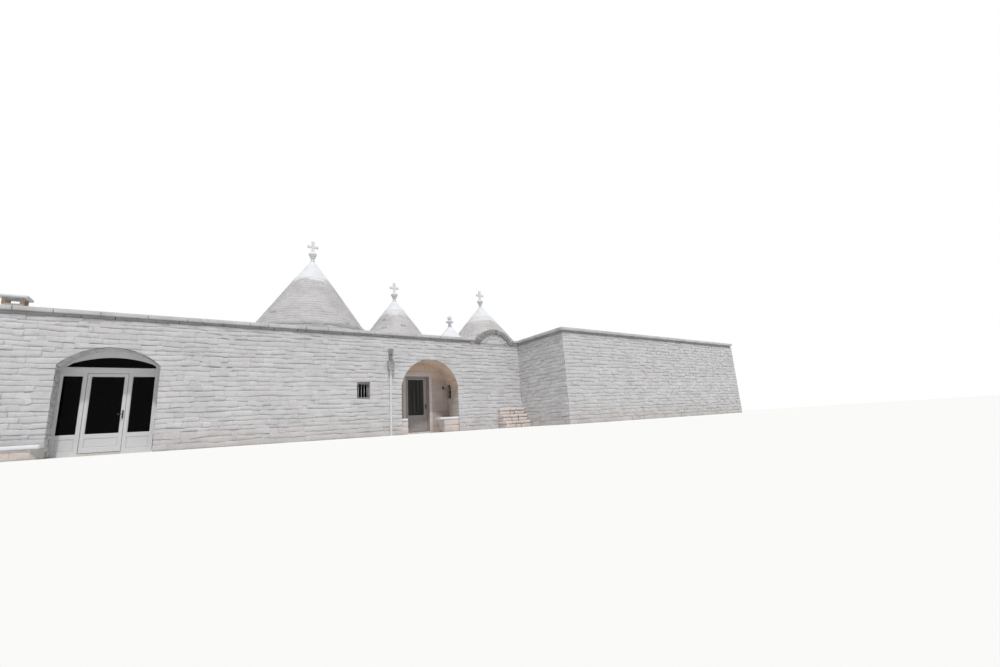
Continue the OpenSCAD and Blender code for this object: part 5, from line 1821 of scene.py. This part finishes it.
@dataclass
class Joinery:
    """Beads, raised panels and bars on the glazed door, the porch door and the window."""

    walls: Walls
    left_post: float = 0.056
    right_post: float = 0.14
    mid_post: float = 0.076
    stile: float = 0.07
    play: float = 0.009
    leaf: Pair = (3.152, 4.004)
    leaf_top: float = 2.182
    glass_low: float = 0.545
    fixed_low: float = 0.12
    leaf_low: float = 0.192
    rail: float = 0.09
    pane_in: float = 0.028
    panel_in: float = 0.019
    fan_low: float = 2.34
    porch_leaf: Pair = (12.439, 13.351)
    porch_top: float = 2.206
    porch_stile: float = 0.11
    porch_rail: float = 0.05
    porch_v: float = 1.05
    porch_low: float = 0.71
    bars_v: float = 0.1
    bar_r: float = 0.008

    def raised_panel(self, left: float, right: float, low: float, high: float, v: float, seed: int) -> Skin:
        """Model a raised field inside a panel: a bead round it and a cushion with sloping sides.

        Args:
            left: Left side of the panel along the front.
            right: Right side.
            low: Lower side.
            high: Upper side.
            v: Depth of the panel's face.
            seed: Seed of the cushion.

        Returns:
            The skin of the bead and the cushion.
        """
        inset = 0.03
        centre = house((left + right) / 2.0, v - 0.0005, (low + high) / 2.0)
        half = np.array([(right - left) / 2.0 - inset, 0.0045, (high - low) / 2.0 - inset])
        cushion = blocks(centre[None], half[None], 0.004, seed, rough=0.0, stations=2)
        return Skin.join([carry(rectangle(left, right, low, high), BEAD, v), cushion])

    def light(self, left: float, right: float, top: float, panel_low: float, seed: int, v: float,
              panel_v: float, glass_low: float) -> Skin:
        """Model the bead round a pane and the raised panel below it."""
        return Skin.join([carry(rectangle(left, right, glass_low, top), BEAD, v),
                          self.raised_panel(left, right, panel_low, glass_low - self.rail, panel_v, seed)])

    def build(self) -> None:
        """Make the joinery of the doors and the window."""
        left, right = self.leaf
        face = self.walls.glazed_set
        pane_v, top = face + self.pane_in, self.leaf_top + self.play - self.stile
        sides = ((self.walls.glazed_l + self.left_post, left - self.play - self.mid_post),
                 (right + self.play + self.mid_post, self.walls.glazed_r - self.right_post))
        fixed = [self.light(a, b, top, self.fixed_low, seed, pane_v, face + 0.012, self.glass_low)
                 for seed, (a, b) in enumerate(sides, 130)]
        fan = carry(self.fan_path(), BEAD, pane_v)
        moving = self.light(left + self.stile, right - self.stile, self.leaf_top - self.stile, self.leaf_low,
                            133, pane_v, face + self.panel_in, self.glass_low)
        a, b = self.porch_leaf
        porch = self.light(a + self.porch_stile, b - self.porch_stile, self.porch_top - self.porch_rail,
                           self.leaf_low, 134, self.porch_v + self.pane_in, self.porch_v + self.panel_in,
                           self.porch_low)
        for name, skin, finish, body in (
                ("glazed_frame_mouldings", Skin.join([*fixed, fan]), Finish.WHITE_PAINT, "house"),
                ("glazed_leaf_mouldings", moving, Finish.WHITE_PAINT, "glazed_door"),
                ("porch_leaf_mouldings", porch, Finish.GREY_PAINT, "porch_door")):
            skin.piece(name, finish, "painted_wood", body, smooth=False)
        self.window_bars().piece("window_bars", Finish.WHITE_PAINT, "painted_wood")
        dress(Finish.WHITE_PAINT, "glazed_frame", "glazed_leaf")
        dress(Finish.DARK_PAINT, "window_frame")
        dress(Finish.GREY_PAINT, "porch_door_frame", "porch_door_leaf")
        dress(Finish.GLASS, "glazed_panes", "glazed_leaf_pane", "window_pane")
        dress(Finish.CURTAINED, "porch_door_pane")
        dress(Finish.IRON, "hinge_pins", "glazed_door_fittings", "porch_door_fittings")

    def fan_path(self) -> Array:
        """Return the outline of the fan light: two arcs over a level foot, anticlockwise from the front."""
        left, right = self.walls.glazed_l + self.left_post, self.walls.glazed_r - self.right_post
        u = np.linspace(right, left, 25)
        across = (u - 3.67) ** 2
        top = np.minimum(1.4351 + np.sqrt(1.3489 ** 2 - across), 0.494 + np.sqrt(2.156 ** 2 - across))
        return np.concatenate([[[left, self.fan_low], [right, self.fan_low]], columns(u, top)])

    def window_bars(self) -> Skin:
        """Model the upright bars and two flat rails in the window reveal.

        Returns:
            The skin of the bars and rails.
        """
        walls, v = self.walls, self.bars_v
        left, right, low, high = walls.window_l, walls.window_r, walls.window_z0, walls.window_z1
        bars = [tube(np.array([[u, v, z] for z in (low - 0.01, (low + high) / 2, high + 0.01)]), self.bar_r)
                for u in np.linspace(left + 0.09, right - 0.09, 4)]
        rails = [blocks(house((left + right) / 2, v, z)[None], np.array([[0.25, 0.004, 0.009]]), 0.002, 140,
                        rough=0.0) for z in (low + 0.05, high - 0.05)]
        return Skin.join(bars + rails)


class Drainage:
    """White downpipe, and a sheet-metal hopper with the outlet above it."""

    def build(self) -> None:
        """Dress the pipe and the hopper."""
        dress(Finish.PIPE, "downpipe")
        dress(Finish.SHEET_METAL, "rain_hopper")


# Scene


@dataclass(frozen=True)
class Studio:
    """Pale floor, soft light and the camera at the photograph's viewing angle."""

    focal: float = 15.4964
    place: Triple = (-9.2395, -17.3713, 0.1209)
    yaw: float = -0.6071
    pitch: float = 0.2098
    roll: float = 0.0624
    film: float = 36.0
    sun: float = 2.5
    sun_from: Triple = (-0.27, -1.0, 2.2)
    sky: float = 0.39
    floor_reach: float = 90.0

    def camera(self) -> None:
        """Aim the camera: local +Y forward is rolled, pitched, then turned."""
        level = Matrix.Rotation(self.yaw, 3, "Z") @ Matrix.Rotation(self.pitch, 3, "X")
        right, forward, up = (level @ Matrix.Rotation(self.roll, 3, "Y")).col
        data = bpy.data.cameras.new("photograph_view")
        data.lens, data.sensor_width, data.sensor_fit = self.focal, self.film, "HORIZONTAL"
        data.clip_end = 400.0
        view = bpy.data.objects.new("photograph_view", data)
        aim = Matrix((right, up, -forward)).transposed().to_4x4()
        aim.translation = Vector(self.place)
        view.matrix_world = aim
        bpy.context.scene.collection.objects.link(view)
        bpy.context.scene.camera = view

    def light(self) -> None:
        """Hang a soft sun high at the front left and light the sky plainly, white where it is seen."""
        data = bpy.data.lights.new("high_sun", "SUN")
        data.energy, data.angle, data.color = self.sun, math.radians(2.5), (1.0, 0.995, 0.985)
        lamp = bpy.data.objects.new("high_sun", data)
        lamp.rotation_euler = Vector(self.sun_from).to_track_quat("Z", "Y").to_euler()
        bpy.context.scene.collection.objects.link(lamp)
        world = bpy.data.worlds.new("plain_sky")
        world.use_nodes = True
        bpy.context.scene.world = world
        wiring = Wiring(world.node_tree)
        path = wiring.add("ShaderNodeLightPath")
        seen = path.outputs["Is Camera Ray"]
        for kind in ("Is Glossy Ray", "Is Transmission Ray"):
            seen = wiring.math("MAXIMUM", seen, path.outputs[kind])
        background = world.node_tree.nodes["Background"].inputs
        wiring.feed(wiring.ramp(seen, 0.0, 1.0, self.sky, 1.0), background["Strength"])
        wiring.feed((1.0, 1.0, 1.0), background["Color"])

    def floor(self) -> None:
        """Lay a pale floor that keeps the house's shadow."""
        signs = ((-1.0, -1.0), (1.0, -1.0), (1.0, 1.0), (-1.0, 1.0))
        corners = [(x * self.floor_reach, y * self.floor_reach, -0.002) for x, y in signs]
        mesh = bpy.data.meshes.new("pale_floor")
        mesh.from_pydata(corners, [], [(0, 1, 2, 3)])
        material = bpy.data.materials.new("pale_floor")
        material.use_nodes = True
        shader = material.node_tree.nodes["Principled BSDF"]
        shader.inputs["Base Color"].default_value = (0.86, 0.86, 0.85, 1.0)
        shader.inputs["Roughness"].default_value = 1.0
        shader.inputs["Specular IOR Level"].default_value = 0.0
        mesh.materials.append(material)
        floor = bpy.data.objects.new("pale_floor", mesh)
        bpy.context.scene.collection.objects.link(floor)

    def build(self) -> None:
        """Set up the camera, the light, the floor and the colour view."""
        self.camera()
        self.light()
        self.floor()
        bpy.context.scene.view_settings.view_transform = "Standard"


def main() -> None:
    logging.basicConfig(level=logging.INFO, format="%(message)s")
    walls = Walls()
    roofs = ConeRoofs()
    walls.build()
    Porch(walls).build()
    roofs.build()
    RoofEdge().build(roofs.cones)
    Seats().build()
    Joinery(walls).build()
    Drainage().build()
    Studio().build()
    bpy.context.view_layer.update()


if __name__ == "__main__":
    main()
